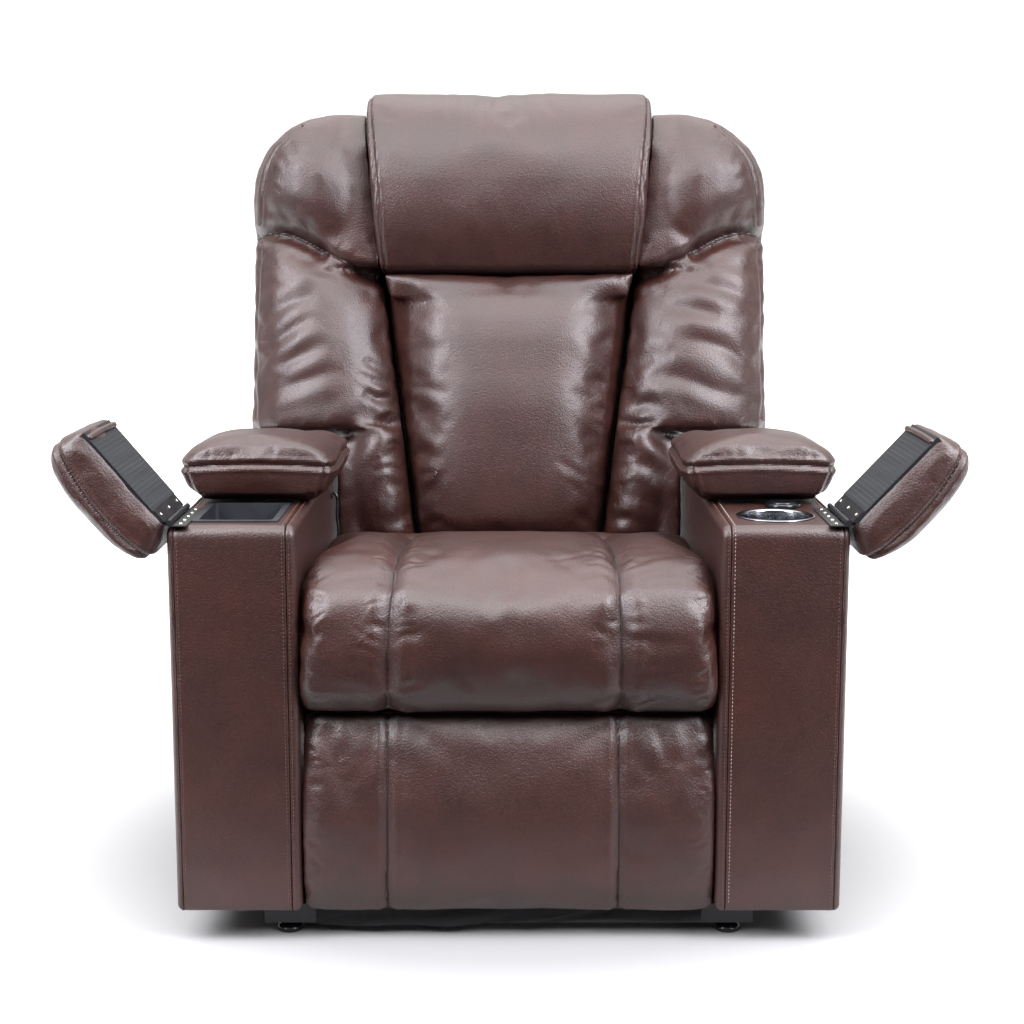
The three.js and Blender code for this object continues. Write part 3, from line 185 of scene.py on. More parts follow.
leather = leather_material("bonded_leather", LEATHER_DARK, LEATHER_MID, LEATHER_RED,
                           LEATHER_ROUGHNESS)
print("leather", leather.name)

# %% [markdown]
# ## The other finishes
#
# Black polypropylene cloth lines the lids: a plain weave whose threads show as a fine check. They
# are 0.6 mm apart and are drawn 2.2 mm apart, because the real spacing is under one pixel. The
# frame is mild steel tube with a black powder coat, which is slightly orange-peeled and half matt.
# Pins and rods are zinc plated, the cup holder is spun stainless steel with its turning lines
# round the axis, and the bin is moulded polypropylene with a fine spark texture.

# %% Cloth, steel, plastic, wood and rubber
THREADS_PER_UNIT = 6.3  # of a wave texture at a scale of 1, where each thread takes half a wave


def cloth_material(name, dark, light, thread):
    """A plain weave: threads that pass over each other, a given number of millimetres apart."""
    material, tree, shader, place = new_material(name)
    scale = per_metre(thread) / THREADS_PER_UNIT
    warp, weft, length = [
        add_node(tree, "ShaderNodeTexWave", {"bands_direction": axis, "Scale": scale},
                 {"Vector": place}).outputs["Fac"] for axis in "XZY"]
    across = add_node(tree, "ShaderNodeMath", {"operation": "MULTIPLY"},
                      {0: warp, 1: weft}).outputs[0]
    weave = add_node(tree, "ShaderNodeMath", {"operation": "ADD"},
                     {0: across, 1: length}).outputs[0]
    colour = add_node(tree, "ShaderNodeMixRGB", {"Color1": linear(dark), "Color2": linear(light)},
                      {"Fac": weave})
    bump = add_node(tree, "ShaderNodeBump", {"Strength": 0.6, "Distance": 0.0005},
                    {"Height": weave})
    tree.links.new(colour.outputs[0], shader.inputs["Base Color"])
    tree.links.new(bump.outputs[0], shader.inputs["Normal"])
    shader.inputs["Roughness"].default_value = 0.85
    return material


def speckled_material(name, dark, light, grit, roughness, metallic=0.0, depth=0.0002,
                      stretch=(1, 1, 1)):
    """A colour with fine grit in it: moulded, coated, plated, or brushed where it is stretched."""
    material, tree, shader, place = new_material(name)
    scaled = add_node(tree, "ShaderNodeMapping", {"Scale": stretch}, {"Vector": place}).outputs[0]
    fine = add_node(tree, "ShaderNodeTexNoise", {"Scale": per_metre(grit), "Detail": 3.0},
                    {"Vector": scaled}).outputs["Fac"]
    broad = add_node(tree, "ShaderNodeTexNoise", {"Scale": per_metre(grit * 30)},
                     {"Vector": place}).outputs["Fac"]
    both = add_node(tree, "ShaderNodeMath", {"operation": "MULTIPLY"},
                    {0: fine, 1: broad}).outputs[0]
    tone = add_node(tree, "ShaderNodeMapRange", {"From Min": 0.12, "From Max": 0.4},
                    {"Value": both})
    colour = add_node(tree, "ShaderNodeMixRGB", {"Color1": linear(dark), "Color2": linear(light)},
                      {"Fac": tone.outputs[0]})
    gloss = add_node(tree, "ShaderNodeMapRange",
                     {"To Min": roughness * 0.8, "To Max": roughness * 1.2},
                     {"Value": fine})
    bump = add_node(tree, "ShaderNodeBump", {"Strength": 0.4, "Distance": depth}, {"Height": fine})
    tree.links.new(colour.outputs[0], shader.inputs["Base Color"])
    tree.links.new(gloss.outputs[0], shader.inputs["Roughness"])
    tree.links.new(bump.outputs[0], shader.inputs["Normal"])
    shader.inputs["Metallic"].default_value = metallic
    return material


black_cloth = cloth_material("woven_polypropylene_cloth", "#0d0e10", "#222427", 2.2)
powder_coat = speckled_material("black_powder_coated_steel", "#0c0d0f", "#1a1b1e", 0.8, 0.45)
zinc_plate = speckled_material("zinc_plated_steel", "#9a9da0", "#c3c6c8", 0.6, 0.32, metallic=1.0)
nickel = speckled_material("nickel_plated_steel", "#b9b2a4", "#ddd6c8", 0.5, 0.22, metallic=1.0)
stainless = speckled_material("spun_stainless_steel", "#85888c", "#a9acb0", 0.9, 0.16, metallic=1.0,
                              depth=0.00005, stretch=(1, 1, 12))
moulded_plastic = speckled_material("moulded_polypropylene", "#14151a", "#22252b", 0.7, 0.55)
gloss_plastic = speckled_material("polished_abs_plastic", "#0b0c10", "#16181d", 2.0, 0.16,
                                  depth=0.00002)
# Black nonwoven cloth, drawn darker than the lid lining: partly its own black, partly painted shade
# for the shade under the chair.
nonwoven_painted_shade = cloth_material("nonwoven_cloth_painted_shade", "#050506", "#0d0d0f", 1.6)
rubber = speckled_material("black_rubber", "#0d0d0e", "#1b1b1c", 1.2, 0.65)
plywood = speckled_material("birch_plywood", "#a98454", "#d2b07c", 1.4, 0.6, stretch=(0.1, 1, 1))
stained_plywood = speckled_material("black_stained_birch_plywood", "#0e0b09", "#231c17", 1.4, 0.6,
                                     stretch=(0.1, 1, 1))
thread = speckled_material("bonded_nylon_thread", "#3a2119", "#6a4537", 0.5, 0.5)
# A near-black cord for the seams: painted shadow at the bottom of each seam's valley.
seam_shadow_paint = speckled_material("painted_seam_shadow", "#0c0605", "#170b09", 0.5, 0.7)
# Paler thread: a painted highlight, the glint of the lamps on one row of stitches.
glint_painted_thread = speckled_material("nylon_thread_painted_glint", "#7d685d", "#a8968a", 0.5, 0.5)
print("materials:", len(bpy.data.materials))

# %% [markdown]
# ## Studio
#
# The picture is high key: a pale floor and backdrop, a large soft lamp high on each side, one in
# front and a broad one overhead. The part of the room behind the camera is dark, so the fronts of
# the arms, which mirror it, keep their deep brown, while the crests mirror the lamps. The floor
# is greyer close to the chair, where white would throw light up on its low fronts.

# %% Floor, lamps and world
FLOOR_RADIUS = 40.0
FLOOR_FRONT = -0.68
GREY_WITHIN, WHITE_BEYOND = 0.45, 1.5
LAMP_COLOUR = (0.94, 0.93, 1.0)
LAMPS = {"left_softbox": ((-2.0, -1.7, 2.2), 128, (1.2, 1.6)),
         "right_softbox": ((2.0, -1.7, 2.2), 142, (1.2, 1.6)),
         "front_softbox": ((0.0, -2.0, 3.6), 66, (3.0, 1.4))}


def make_floor():
    shape = bmesh.new()
    bmesh.ops.create_circle(shape, cap_ends=True, radius=FLOOR_RADIUS, segments=96)
    for vert in shape.verts:
        vert.co.y = max(vert.co.y, FLOOR_FRONT)
    mesh = bpy.data.meshes.new("studio_floor")
    shape.to_mesh(mesh)
    shape.free()
    floor = bpy.data.objects.new("studio_floor", mesh)
    scene.collection.objects.link(floor)
    material, tree, shader, place = new_material("painted_studio_floor")
    grit = add_node(tree, "ShaderNodeTexNoise", {"Scale": per_metre(4)},
                    {"Vector": place}).outputs["Fac"]
    paint = add_node(tree, "ShaderNodeMixRGB",
                     {"Color1": linear("#8c8c8c"), "Color2": linear("#909090")},
                     {"Fac": grit})
    centre_away = add_node(tree, "ShaderNodeVectorMath", {"operation": "LENGTH"}, {0: place})
    fade = add_node(tree, "ShaderNodeMapRange", {"From Min": GREY_WITHIN, "From Max": WHITE_BEYOND},
                    {"Value": centre_away.outputs["Value"]})
    sweep = add_node(tree, "ShaderNodeMixRGB", {"Color2": linear("#f4f4f4")},
                     {"Fac": fade.outputs[0], "Color1": paint.outputs[0]})
    tree.links.new(sweep.outputs[0], shader.inputs["Base Color"])
    shader.inputs["Roughness"].default_value = 0.9
    floor.data.materials.append(material)


def add_lamp(name, kind, power, place=(0, 0, 3), target=(0, 0, 0.6), size=(1.0, 1.0), angle=0.0):
    lamp = bpy.data.objects.new(name, bpy.data.lights.new(name, kind))
    lamp.data.energy = power
    if kind == "AREA":
        lamp.data.shape = "RECTANGLE"
        lamp.data.size, lamp.data.size_y = size
    else:
        lamp.data.angle = angle
    lamp.location = place
    lamp.rotation_euler = (Vector(target) - Vector(place)).to_track_quat("-Z", "Y").to_euler()
    scene.collection.objects.link(lamp)
    return lamp


make_floor()
add_lamp("overhead_sky", "SUN", 1.1, place=(0.0, 0.8, 5.0), angle=math.radians(100))
for name, (place, power, size) in LAMPS.items():
    lamp = add_lamp(name, "AREA", power, place=place, target=(0, 0, 0.8), size=size)
    lamp.data.color = LAMP_COLOUR

world = bpy.data.worlds.new("white_studio")
scene.world = world
world.use_nodes = True
sky = world.node_tree
sky.nodes.clear()
direction = add_node(sky, "ShaderNodeTexCoord").outputs["Generated"]
axis = add_node(sky, "ShaderNodeSeparateXYZ", links={0: direction})
behind = add_node(sky, "ShaderNodeMapRange", {"From Min": -0.5, "From Max": 0.6, "To Min": 0.05,
                                              "To Max": 0.9}, {"Value": axis.outputs["Y"]})
above = add_node(sky, "ShaderNodeMapRange", {"From Min": 0.45, "From Max": 0.95, "To Min": 0.0,
                                             "To Max": 3.5}, {"Value": axis.outputs["Z"]})
most = add_node(sky, "ShaderNodeMath", {"operation": "MAXIMUM"},
                {0: behind.outputs[0], 1: above.outputs[0]})
seen = add_node(sky, "ShaderNodeLightPath").outputs["Is Camera Ray"]
level = add_node(sky, "ShaderNodeMixRGB", {"Color2": (1.3, 1.3, 1.3, 1)},
                 {"Fac": seen, "Color1": most.outputs[0]})
glow = add_node(sky, "ShaderNodeBackground", links={"Color": level.outputs[0]})
add_node(sky, "ShaderNodeOutputWorld", links={"Surface": glow.outputs[0]})
scene.view_settings.view_transform = "Standard"

# %% [markdown]
# ## How the stuffed pieces are made
#
# A real cushion is a flat pattern of leather, sewn shut and filled until it stands tight. It could
# be sculpted by hand or shaped with formulas alone, but inflating it gives the swell and the
# gathers for free. So each piece starts as a copy of its CAD solid, which is remeshed into even
# squares, drawn in a little, and blown up by the cloth solver, with its seams and underside held.
# Seams, channels and folds are pressed in afterwards, because a remesh would wipe them away.

# %% Meshes as arrays of points
MM = 0.001


def points_of(obj):
    flat = np.empty(len(obj.data.vertices) * 3)
    obj.data.vertices.foreach_get("co", flat)
    return flat.reshape(-1, 3)


def normals_of(obj):
    flat = np.empty(len(obj.data.vertices) * 3)
    obj.data.vertices.foreach_get("normal", flat)
    return flat.reshape(-1, 3)


def set_points(obj, points):
    obj.data.vertices.foreach_set("co", points.ravel())
    obj.data.update()


def add_object(name, mesh, material, smooth=True):
    obj = bpy.data.objects.new(name, mesh)
    scene.collection.objects.link(obj)
    mesh.materials.clear()
    mesh.materials.append(material)
    mesh.polygons.foreach_set("use_smooth", [smooth] * len(mesh.polygons))
    return obj


def mesh_from(name, points, faces):
    mesh = bpy.data.meshes.new(name)
    mesh.from_pydata([tuple(p) for p in points], [], [tuple(f) for f in faces])
    mesh.validate()
    return mesh


def apply_modifiers(obj):
    """The mesh becomes what its modifiers make of it."""
    graph = bpy.context.evaluated_depsgraph_get()
    graph.update()
    made = bpy.data.meshes.new_from_object(obj.evaluated_get(graph), depsgraph=graph)
    obj.modifiers.clear()
    old, obj.data = obj.data, made
    bpy.data.meshes.remove(old)


def cad_copy(name, nodes, material, extra=()):
    """One mesh from the solids of some CAD nodes, and from extra blocks given by their corners."""
    shape = bmesh.new()
    for node in nodes:
        shape.from_mesh(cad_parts[node].data)
    for corners in extra:
        block = [shape.verts.new(corner) for corner in corners]
        for face in ((0, 1, 3, 2), (4, 6, 7, 5), (0, 4, 5, 1), (2, 3, 7, 6), (0, 2, 6, 4),
                     (1, 5, 7, 3)):
            shape.faces.new([block[i] for i in face])
    bmesh.ops.remove_doubles(shape, verts=shape.verts, dist=1e-5)
    mesh = bpy.data.meshes.new(name)
    shape.to_mesh(mesh)
    shape.free()
    return add_object(name, mesh, material)


def remesh(obj, voxel, rounds):
    """Even squares all over, and then smoothed so that the facets of the CAD solid are gone."""
    modifier = obj.modifiers.new("squares", "REMESH")
    modifier.mode = "VOXEL"
    modifier.voxel_size = voxel
    smoothing = obj.modifiers.new("rounding", "SMOOTH")
    smoothing.factor = 0.5
    smoothing.iterations = rounds
    apply_modifiers(obj)


# %% Cloth
PRESSURE = 4.0
STIFFNESS = 15.0
BENDING = 4.0
LAST_FRAME = 20
EVENING_ROUNDS = 5
stuffing = []


def hold(obj, held):
    """A vertex group of the points that the seams and the staples hold."""
    group = obj.vertex_groups.new(name="held")
    group.add([int(i) for i in np.flatnonzero(held)], 1.0, "REPLACE")


def add_stuffing(obj, held, cap, spare, pressure=PRESSURE):
    """Sets up a cloth that is blown up from inside.

    spare is how much larger than its form it is cut, and cap limits how far a point goes."""
    hold(obj, held)
    cloth = obj.modifiers.new("stuffing", "CLOTH")
    settings = cloth.settings
    settings.quality = 4
    settings.mass = 0.3
    settings.tension_stiffness = settings.compression_stiffness = STIFFNESS
    settings.shear_stiffness = STIFFNESS / 2
    settings.bending_stiffness = BENDING
    settings.use_pressure = True
    settings.uniform_pressure_force = pressure
    settings.shrink_min = -spare
    settings.vertex_group_mass = "held"
    settings.effector_weights.gravity = 0
    cloth.collision_settings.use_self_collision = False
    cloth.point_cache.frame_end = LAST_FRAME
    stuffing.append((obj, points_of(obj), cap))


def blow_up():
    """Runs all the cloths side by side, limits how far each point went, and keeps the result."""
    for number in range(1, LAST_FRAME + 1):
        scene.frame_set(number)
    graph = bpy.context.evaluated_depsgraph_get()
    for obj, rest, cap in stuffing:
        swollen = points_of(obj.evaluated_get(graph))
        move = swollen - rest
        far = np.linalg.norm(move, axis=1)
        limited = cap * np.tanh(far / cap) / np.maximum(far, 1e-9)
        obj.modifiers.clear()
        obj.vertex_groups.clear()
        set_points(obj, rest + move * limited[:, None])
        print(obj.name, "swells by up to", round(float(far.max()) * 1000, 1), "mm")
    scene.frame_set(1)
    stuffing.clear()


def subdivide(obj):
    """Evens out the small crumples that the solver leaves, and doubles the mesh."""
    smoothing = obj.modifiers.new("evened", "SMOOTH")
    smoothing.factor = 0.5
    smoothing.iterations = EVENING_ROUNDS
    modifier = obj.modifiers.new("finer", "SUBSURF")
    modifier.levels = modifier.render_levels = 1
    apply_modifiers(obj)


# %% [markdown]
# ## Seams, channels and folds
#
# A leather worker draws on the pattern, so the folds are drawn there too. A pattern gives every
# point of a piece two flat coordinates, and a line drawn between them presses the leather in along
# its length, with a soft shoulder on each side. A seam is such a line at full depth, a gather is a
# short one that starts at a seam and dies out, and a fold is one that fades at both ends.

# %% The pattern of a piece and the lines drawn on it
WAVE_COUNT = 7


def smooth_line(corners, steps=6):
    """A curve through the corners (Catmull-Rom)."""
    corners = [np.array(c, float) for c in corners]
    if len(corners) < 3:
        return corners
    ends = [2 * corners[0] - corners[1], *corners, 2 * corners[-1] - corners[-2]]
    line = []
    for a, b, c, d in zip(ends, ends[1:], ends[2:], ends[3:]):
        for k in range(steps):
            t = k / steps
            line.append(0.5 * (2 * b + (c - a) * t + (2 * a - 5 * b + 4 * c - d) * t ** 2
                               + (3 * b - a - 3 * c + d) * t ** 3))
    return [*line, corners[-1]]


class Pattern:
    """The points of a soft piece, their flat coordinates and how well each faces the pattern."""

    def __init__(self, obj, flat, facing):
        self.obj = obj
        self.points = points_of(obj)
        self.normals = normals_of(obj)
        self.flat = flat
        self.facing = facing
        self.rise = np.zeros(len(flat))

    def near(self, line, reach):
        low = np.min(line, axis=0) - reach
        high = np.max(line, axis=0) + reach
        inside = np.all((self.flat >= low) & (self.flat <= high), axis=1) & (self.facing > 0)
        return np.flatnonzero(inside)

    def measure(self, line, reach):
        """The points near a line, their distance from it and how far along it they lie, 0 to 1."""
        index = self.near(line, reach)
        spots = self.flat[index]
        best = np.full(len(index), np.inf)
        share = np.zeros(len(index))
        lengths = [float(np.linalg.norm(b - a)) for a, b in zip(line, line[1:])]
        total, done = sum(lengths), 0.0
        for (a, b), length in zip(zip(line, line[1:]), lengths):
            t = np.clip(((spots - a) @ (b - a)) / max(length ** 2, 1e-12), 0, 1)
            away = np.linalg.norm(spots - (a + t[:, None] * (b - a)), axis=1)
            closer = away < best
            best[closer] = away[closer]
            share[closer] = (done + t[closer] * length) / total
            done += length
        return index, best, share

    def press(self, corners, width, depth, shoulder=0.35, fade="none", power=2):
        """Presses a line in: width is half the width of the groove. fade is none, out or both.

        A power of 1 gives the sharp valley of a seam, 2 the round one of a fold."""
        line = smooth_line(corners)
        index, away, share = self.measure(line, 5 * width)
        strength = {"none": np.ones_like(share), "out": (1 - share) ** 0.8,
                    "both": np.sin(np.pi * np.clip(share, 0, 1)) ** 0.7}[fade]
        groove = np.exp(-(away / width) ** power)
        ridge = shoulder * np.exp(-((away - 2.3 * width) / (1.1 * width)) ** 2)
        self.rise[index] += strength * depth * (ridge - groove) * self.facing[index]

    def press_at(self, away, width, depth, shoulder=0.35, strength=1.0):
        """Presses a groove in where away, a distance for every point, is near nought."""
        groove = np.exp(-np.abs(away) / width)
        ridge = shoulder * np.exp(-((np.abs(away) - 2.3 * width) / (1.1 * width)) ** 2)
        self.rise += depth * (ridge - groove) * self.facing * strength

    def gather(self, corners, spacing, length, width, depth, sides=(1, -1), slant=0.3, seed=1):
        """Short folds that run out of a seam on its two sides."""
        rng = np.random.default_rng(seed)
        line = smooth_line(corners)
        steps = [float(np.linalg.norm(b - a)) for a, b in zip(line, line[1:])]
        total = sum(steps)
        at = spacing * rng.uniform(0.3, 1.0)
        while at < total:
            k, left = 0, at
            while k < len(steps) - 1 and left > steps[k]:
                left -= steps[k]
                k += 1
            along = (line[k + 1] - line[k]) / max(steps[k], 1e-9)
            start = line[k] + along * left
            out = np.array([-along[1], along[0]])
            for side in sides:
                reach = length * rng.uniform(0.4, 1.25)
                lean = slant * rng.uniform(-1, 1)
                bend = 0.15 * reach * rng.uniform(-1, 1)
                middle = start + (out * side + along * lean) * reach * 0.5 + along * bend
                end = start + (out * side + along * lean) * reach
                size = rng.uniform(0.5, 1.2)
                self.press([start + out * side * width * 1.6, middle, end],
                           width * size, depth * size, 0.6, "both")
            at += spacing * rng.uniform(0.6, 1.5)

    def wave(self, size, depth, seed, mask=1.0):
        """Slow unevenness of the filling: a few long waves that cross."""
        rng = np.random.default_rng(seed)
        total = np.zeros(len(self.flat))
        for _ in range(WAVE_COUNT):
            turn = rng.uniform(0, 2 * np.pi)
            way = np.array([np.cos(turn), np.sin(turn)]) / (size * rng.uniform(0.6, 1.6))
            total += np.sin(self.flat @ way * 2 * np.pi + rng.uniform(0, 2 * np.pi))
        self.rise += depth * total / WAVE_COUNT * self.facing * mask

    def finish(self):
        set_points(self.obj, self.points + self.normals * self.rise[:, None])

# %% [markdown]
# ## The frame of the back
#
# The back leans, so its pieces are drawn upright in their own frame: x across, depth from the plane
# of the front seams towards the rear, and height along the lean. The same two turns serve every
# cushion of the back, its seams and its stitches.

# %% Coordinates of the leaning back
LEAN = math.radians(13.5)
BACK_FOOT = (44 * MM, 300 * MM)
LEAN_COS, LEAN_SIN = math.cos(LEAN), math.sin(LEAN)


def to_back(points):
    """Depth and height in the back's own frame."""
    dy, dz = points[:, 1] - BACK_FOOT[0], points[:, 2] - BACK_FOOT[1]
    return dy * LEAN_COS - dz * LEAN_SIN, dy * LEAN_SIN + dz * LEAN_COS


def from_back(x, depth, height):
    return np.stack([x, BACK_FOOT[0] + depth * LEAN_COS + height * LEAN_SIN,
                     BACK_FOOT[1] - depth * LEAN_SIN + height * LEAN_COS], axis=1)


def ramp(low, high, value):
    t = np.clip((value - low) / (high - low), 0, 1)
    return t * t * (3 - 2 * t)


def lerp_at(low, high, value, bottom, top):
    return bottom + (top - bottom) * np.clip((value - low) / (high - low), 0, 1)


CENTRE_BOTTOM, CENTRE_TOP = 150 * MM, 562 * MM


def centre_seam(height):
    """Half the width of the centre cushion at a height."""
    return lerp_at(CENTRE_BOTTOM, CENTRE_TOP, height, 141.5 * MM, 195.5 * MM)


def pillow_edge(height):
    return lerp_at(CENTRE_TOP, 796 * MM, height, 198.5 * MM, 222.5 * MM)


def wing_seam(x):
    """The height of the seam below the wing, which climbs outwards."""
    return CENTRE_TOP + 70 * MM * ramp(194 * MM, 370 * MM, x)


print("the centre seam runs from", centre_seam(CENTRE_BOTTOM), "to", centre_seam(CENTRE_TOP), "m")

# %% [markdown]
# ## Blowing up the cushions
#
# Every cushion is held where it is sewn or stapled: along its underside, at its back and along its
# channels. Between these lines it is cut a little larger than its form, so it swells and gathers.

# %% Seat, footrest, back, pillow, arm pads and lids, all blown up together
VOXEL = 6 * MM
SIDES = {"left": -1, "right": 1}
CHANNEL = 145 * MM
LID_OPEN = {"left": math.radians(130), "right": math.radians(133)}
HINGE_X, HINGE_Z = 424 * MM, 557 * MM
covers = {}


def soften(name, nodes, draw_in, rounds=10, voxel=VOXEL, extra=()):
    obj = cad_copy(name, nodes, leather, extra)
    remesh(obj, voxel, rounds)
    set_points(obj, points_of(obj) - normals_of(obj) * draw_in)
    covers[name] = obj
    return obj, points_of(obj)


def back_block(side, low, high, x_low, x_high, depth_low, depth_high):
    """The corners of a block in the back's frame, in millimetres. Its two levels may differ."""
    corners = [(side * x, depth, height) for height, xs, depths in (
        (low, x_low, depth_low), (high, x_high, depth_high)) for depth in depths for x in xs]
    return from_back(*(np.array(corners, float).T * MM))


def lid_frame(points, side):
    """A lid's reach from its hinge and its height above its board, as if it were shut."""
    turn = LID_OPEN["left" if side < 0 else "right"]
    dx = (points[:, 0] - side * HINGE_X) * -side
    dz = points[:, 2] - HINGE_Z
    return dx * math.cos(turn) + dz * math.sin(turn), dz * math.cos(turn) - dx * math.sin(turn)


def on_lid(side, reach, along, rise):
    """A point of an open lid, from its reach, its place along the hinge and its rise when shut."""
    turn = LID_OPEN["left" if side < 0 else "right"]
    dx = reach * math.cos(turn) - rise * math.sin(turn)
    dz = reach * math.sin(turn) + rise * math.cos(turn)
    return (side * HINGE_X - side * dx, along, HINGE_Z + dz)


lid_low, lid_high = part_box("lid_pad_left")
LID_FRONT, LID_REAR = lid_low[1], lid_high[1]
LID_UNDERSIDE = 4.8 * MM
LID_START, LID_END = -19 * MM, 166 * MM


seat_low, seat_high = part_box("seat_cushion")
obj, at = soften("seat_cover", ["seat_cushion"], 3 * MM, rounds=6)
channels = (np.abs(np.abs(at[:, 0]) - CHANNEL) < 4 * MM) & (at[:, 2] > seat_low[2] + 30 * MM)
held = (at[:, 2] < seat_low[2] + 22 * MM) | (at[:, 1] > seat_high[1] - 25 * MM) | channels
add_stuffing(obj, held, 14 * MM, 0.006)

foot_low, foot_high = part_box("footrest_pad")
obj, at = soften("footrest_cover", ["footrest_pad"], 1 * MM, rounds=4)
channels = np.abs(np.abs(at[:, 0]) - CHANNEL) < 4 * MM
add_stuffing(obj, (at[:, 1] > foot_high[1] - 14 * MM) | channels, 7 * MM, 0.003, pressure=2.5)

obj, at = soften("centre_cover", ["back_centre_cushion"], 1 * MM, rounds=4, extra=[
    back_block(1, 530, 567, (-188, 188), (-194, 194), (8, 60), (10, 60))])
depth, height = to_back(at)
add_stuffing(obj, depth > 62 * MM, 14 * MM, 0.01)

for name, side in SIDES.items():
    obj, at = soften(f"side_cover_{name}", [f"back_side_panel_{name}"], 1 * MM, rounds=4, extra=[
        back_block(side, 575, 765, (190, 280), (208, 280), (2, 100), (-8, 100)),
        back_block(side, 765, 816, (208, 280), (212, 280), (-8, 100), (18, 100)),
        back_block(side, 150, 312, (232, 262), (232, 262), (16, 110), (12, 110))])
    depth, height = to_back(at)
    seam = (np.abs(height - wing_seam(np.abs(at[:, 0]))) < 5 * MM) & (depth < 60 * MM)
    add_stuffing(obj, (depth > 84 * MM) | seam, 14 * MM, 0.015)

obj, at = soften("pillow_cover", ["head_pillow"], 1 * MM, rounds=4, extra=[
    back_block(1, 568, 600, (-198, 198), (-201, 201), (-6, 60), (-18, 60))])
depth, height = to_back(at)
held = (depth > 120 * MM) | (height < CENTRE_TOP + 12 * MM) | (np.abs(at[:, 0]) > 212 * MM)
add_stuffing(obj, held, 10 * MM, 0.004)

pad_low, pad_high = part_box("arm_pad_right")
PAD_SEAM = pad_low[2] + 52 * MM
for name, side in SIDES.items():
    obj, at = soften(f"arm_pad_cover_{name}", [f"arm_pad_{name}"], 3 * MM, rounds=6, voxel=5 * MM)
    add_stuffing(obj, at[:, 2] < pad_low[2] + 16 * MM, 6 * MM, 0.003)
    wrapped = [on_lid(side, reach, along, rise) for reach in (2 * MM, LID_END - 8 * MM)
               for along in (LID_FRONT + 6 * MM, LID_REAR - 6 * MM)
               for rise in (LID_UNDERSIDE, 40 * MM)]
    obj, at = soften(f"lid_cover_{name}", [f"lid_pad_{name}"], 0, rounds=4, voxel=5 * MM,
                     extra=[wrapped])
    reach, rise = lid_frame(at, side)
    add_stuffing(obj, rise < 14 * MM, 6 * MM, 0.003)

blow_up()

# %% [markdown]
# ## The seat
#
# The seat cushion is one roll in three channels. Two seams run from the back over the crest and
# down its front, and the leather is gathered into them, so short folds run out of both. Its ends
# are gathered too, where the cover is drawn round the foam beside the arms.

# %% Seat cover
ROLL = (-320 * MM, 415 * MM, 100 * MM)


def in_metres(lines):
    """Lines whose corners are given in millimetres."""
    return [[(a * MM, b * MM) for a, b in line] for line in lines]


def keep_inside(obj, low, high):
    """Flattens a piece where it presses against its neighbours."""
    set_points(obj, np.clip(points_of(obj), low, high))


def seat_pattern(obj):
    """Across, and along the roll: from the crest backwards, or down round the front."""
    at, out = points_of(obj), normals_of(obj)
    turn = np.arctan2(-(at[:, 1] - ROLL[0]), at[:, 2] - ROLL[1])
    along = np.where(at[:, 1] > ROLL[0], at[:, 1] - ROLL[0], -ROLL[2] * turn)
    shown = ramp(-0.2, 0.5, np.maximum(out[:, 2], -out[:, 1]))
    return Pattern(obj, np.stack([at[:, 0], along], axis=1), shown)


seat = covers["seat_cover"]
subdivide(seat)
SEAT_HALF = 265.5 * MM
at = points_of(seat)
front_share = ramp(-250 * MM, -340 * MM, at[:, 1])
at[:, 2] -= 6 * MM * front_share * ramp(400 * MM, 330 * MM, at[:, 2])
at[:, 2] -= 13 * MM * ramp(440 * MM, 500 * MM, at[:, 2])
at[:, 0] *= 1 + 0.03 * ramp(420 * MM, 360 * MM, at[:, 2])
set_points(seat, at)
keep_inside(seat, (-SEAT_HALF, seat_low[1] - 8 * MM, seat_low[2] - 6 * MM),
            (SEAT_HALF, seat_high[1], 1))
SEAT_SEAMS = in_metres([
    [(-142, 300), (-144, 60), (-146, -60), (-152, -180), (-154, -320)],
    [(137, 300), (138, 60), (140, -60), (143, -180), (142, -320)],
])
pattern = seat_pattern(seat)
for number, seam in enumerate(SEAT_SEAMS):
    pattern.press(seam, 9 * MM, 8 * MM, 0.25, power=1)
    pattern.gather(seam[1:], 26 * MM, 40 * MM, 5 * MM, 0.7 * MM, slant=0.5, seed=11 + number)
    pattern.gather(seam[1:], 60 * MM, 80 * MM, 9 * MM, 0.9 * MM, slant=0.6, seed=21 + number)
for number, side in enumerate(SIDES.values()):
    edge = [(side * 262 * MM, 120 * MM), (side * 262 * MM, -320 * MM)]
    for out, seed in ((side, 31), (-side, 41)):
        pattern.gather(edge, 18 * MM, 32 * MM, 5 * MM, 1.0 * MM, sides=(out,), slant=0.7,
                       seed=seed + number)
pattern.wave(90 * MM, 2.0 * MM, 5)
pattern.finish()
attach(seat, "chassis")
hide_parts("seat_cushion")
print("seat cover:", len(seat.data.vertices), "points")

# %% [markdown]
# ## The footrest panel
#
# The panel that swings out is flatter than the seat: thin foam over a board, with the same two
# seams run on down, so that seat and footrest read as one front. Its leather is pulled tight at the
# bottom and bunches a little at its two top corners.

# %% Footrest cover
footrest = covers["footrest_cover"]
subdivide(footrest)
FOOT_BOTTOM, FOOT_TOP, FOOT_HALF = 40 * MM, 303 * MM, 264 * MM
at = points_of(footrest)
low_z, high_z = at[:, 2].min(), at[:, 2].max()
at[:, 2] = lerp_at(low_z, high_z, at[:, 2], FOOT_BOTTOM, FOOT_TOP)
at[:, 0] *= 1.035 - 0.02 * ramp(180 * MM, FOOT_TOP, at[:, 2])
curl = ramp(160 * MM, FOOT_TOP, at[:, 2]) * ramp(foot_high[1], foot_low[1] + 20 * MM, at[:, 1])
at[:, 1] += 16 * MM * curl
set_points(footrest, at)
keep_inside(footrest, (-FOOT_HALF, foot_low[1] - 6 * MM, FOOT_BOTTOM),
            (FOOT_HALF, foot_high[1], FOOT_TOP))


def front_pattern(obj):
    """Across and up, for a piece that is seen from the front."""
    at, out = points_of(obj), normals_of(obj)
    return Pattern(obj, at[:, [0, 2]], ramp(0.0, 0.5, -out[:, 1]))


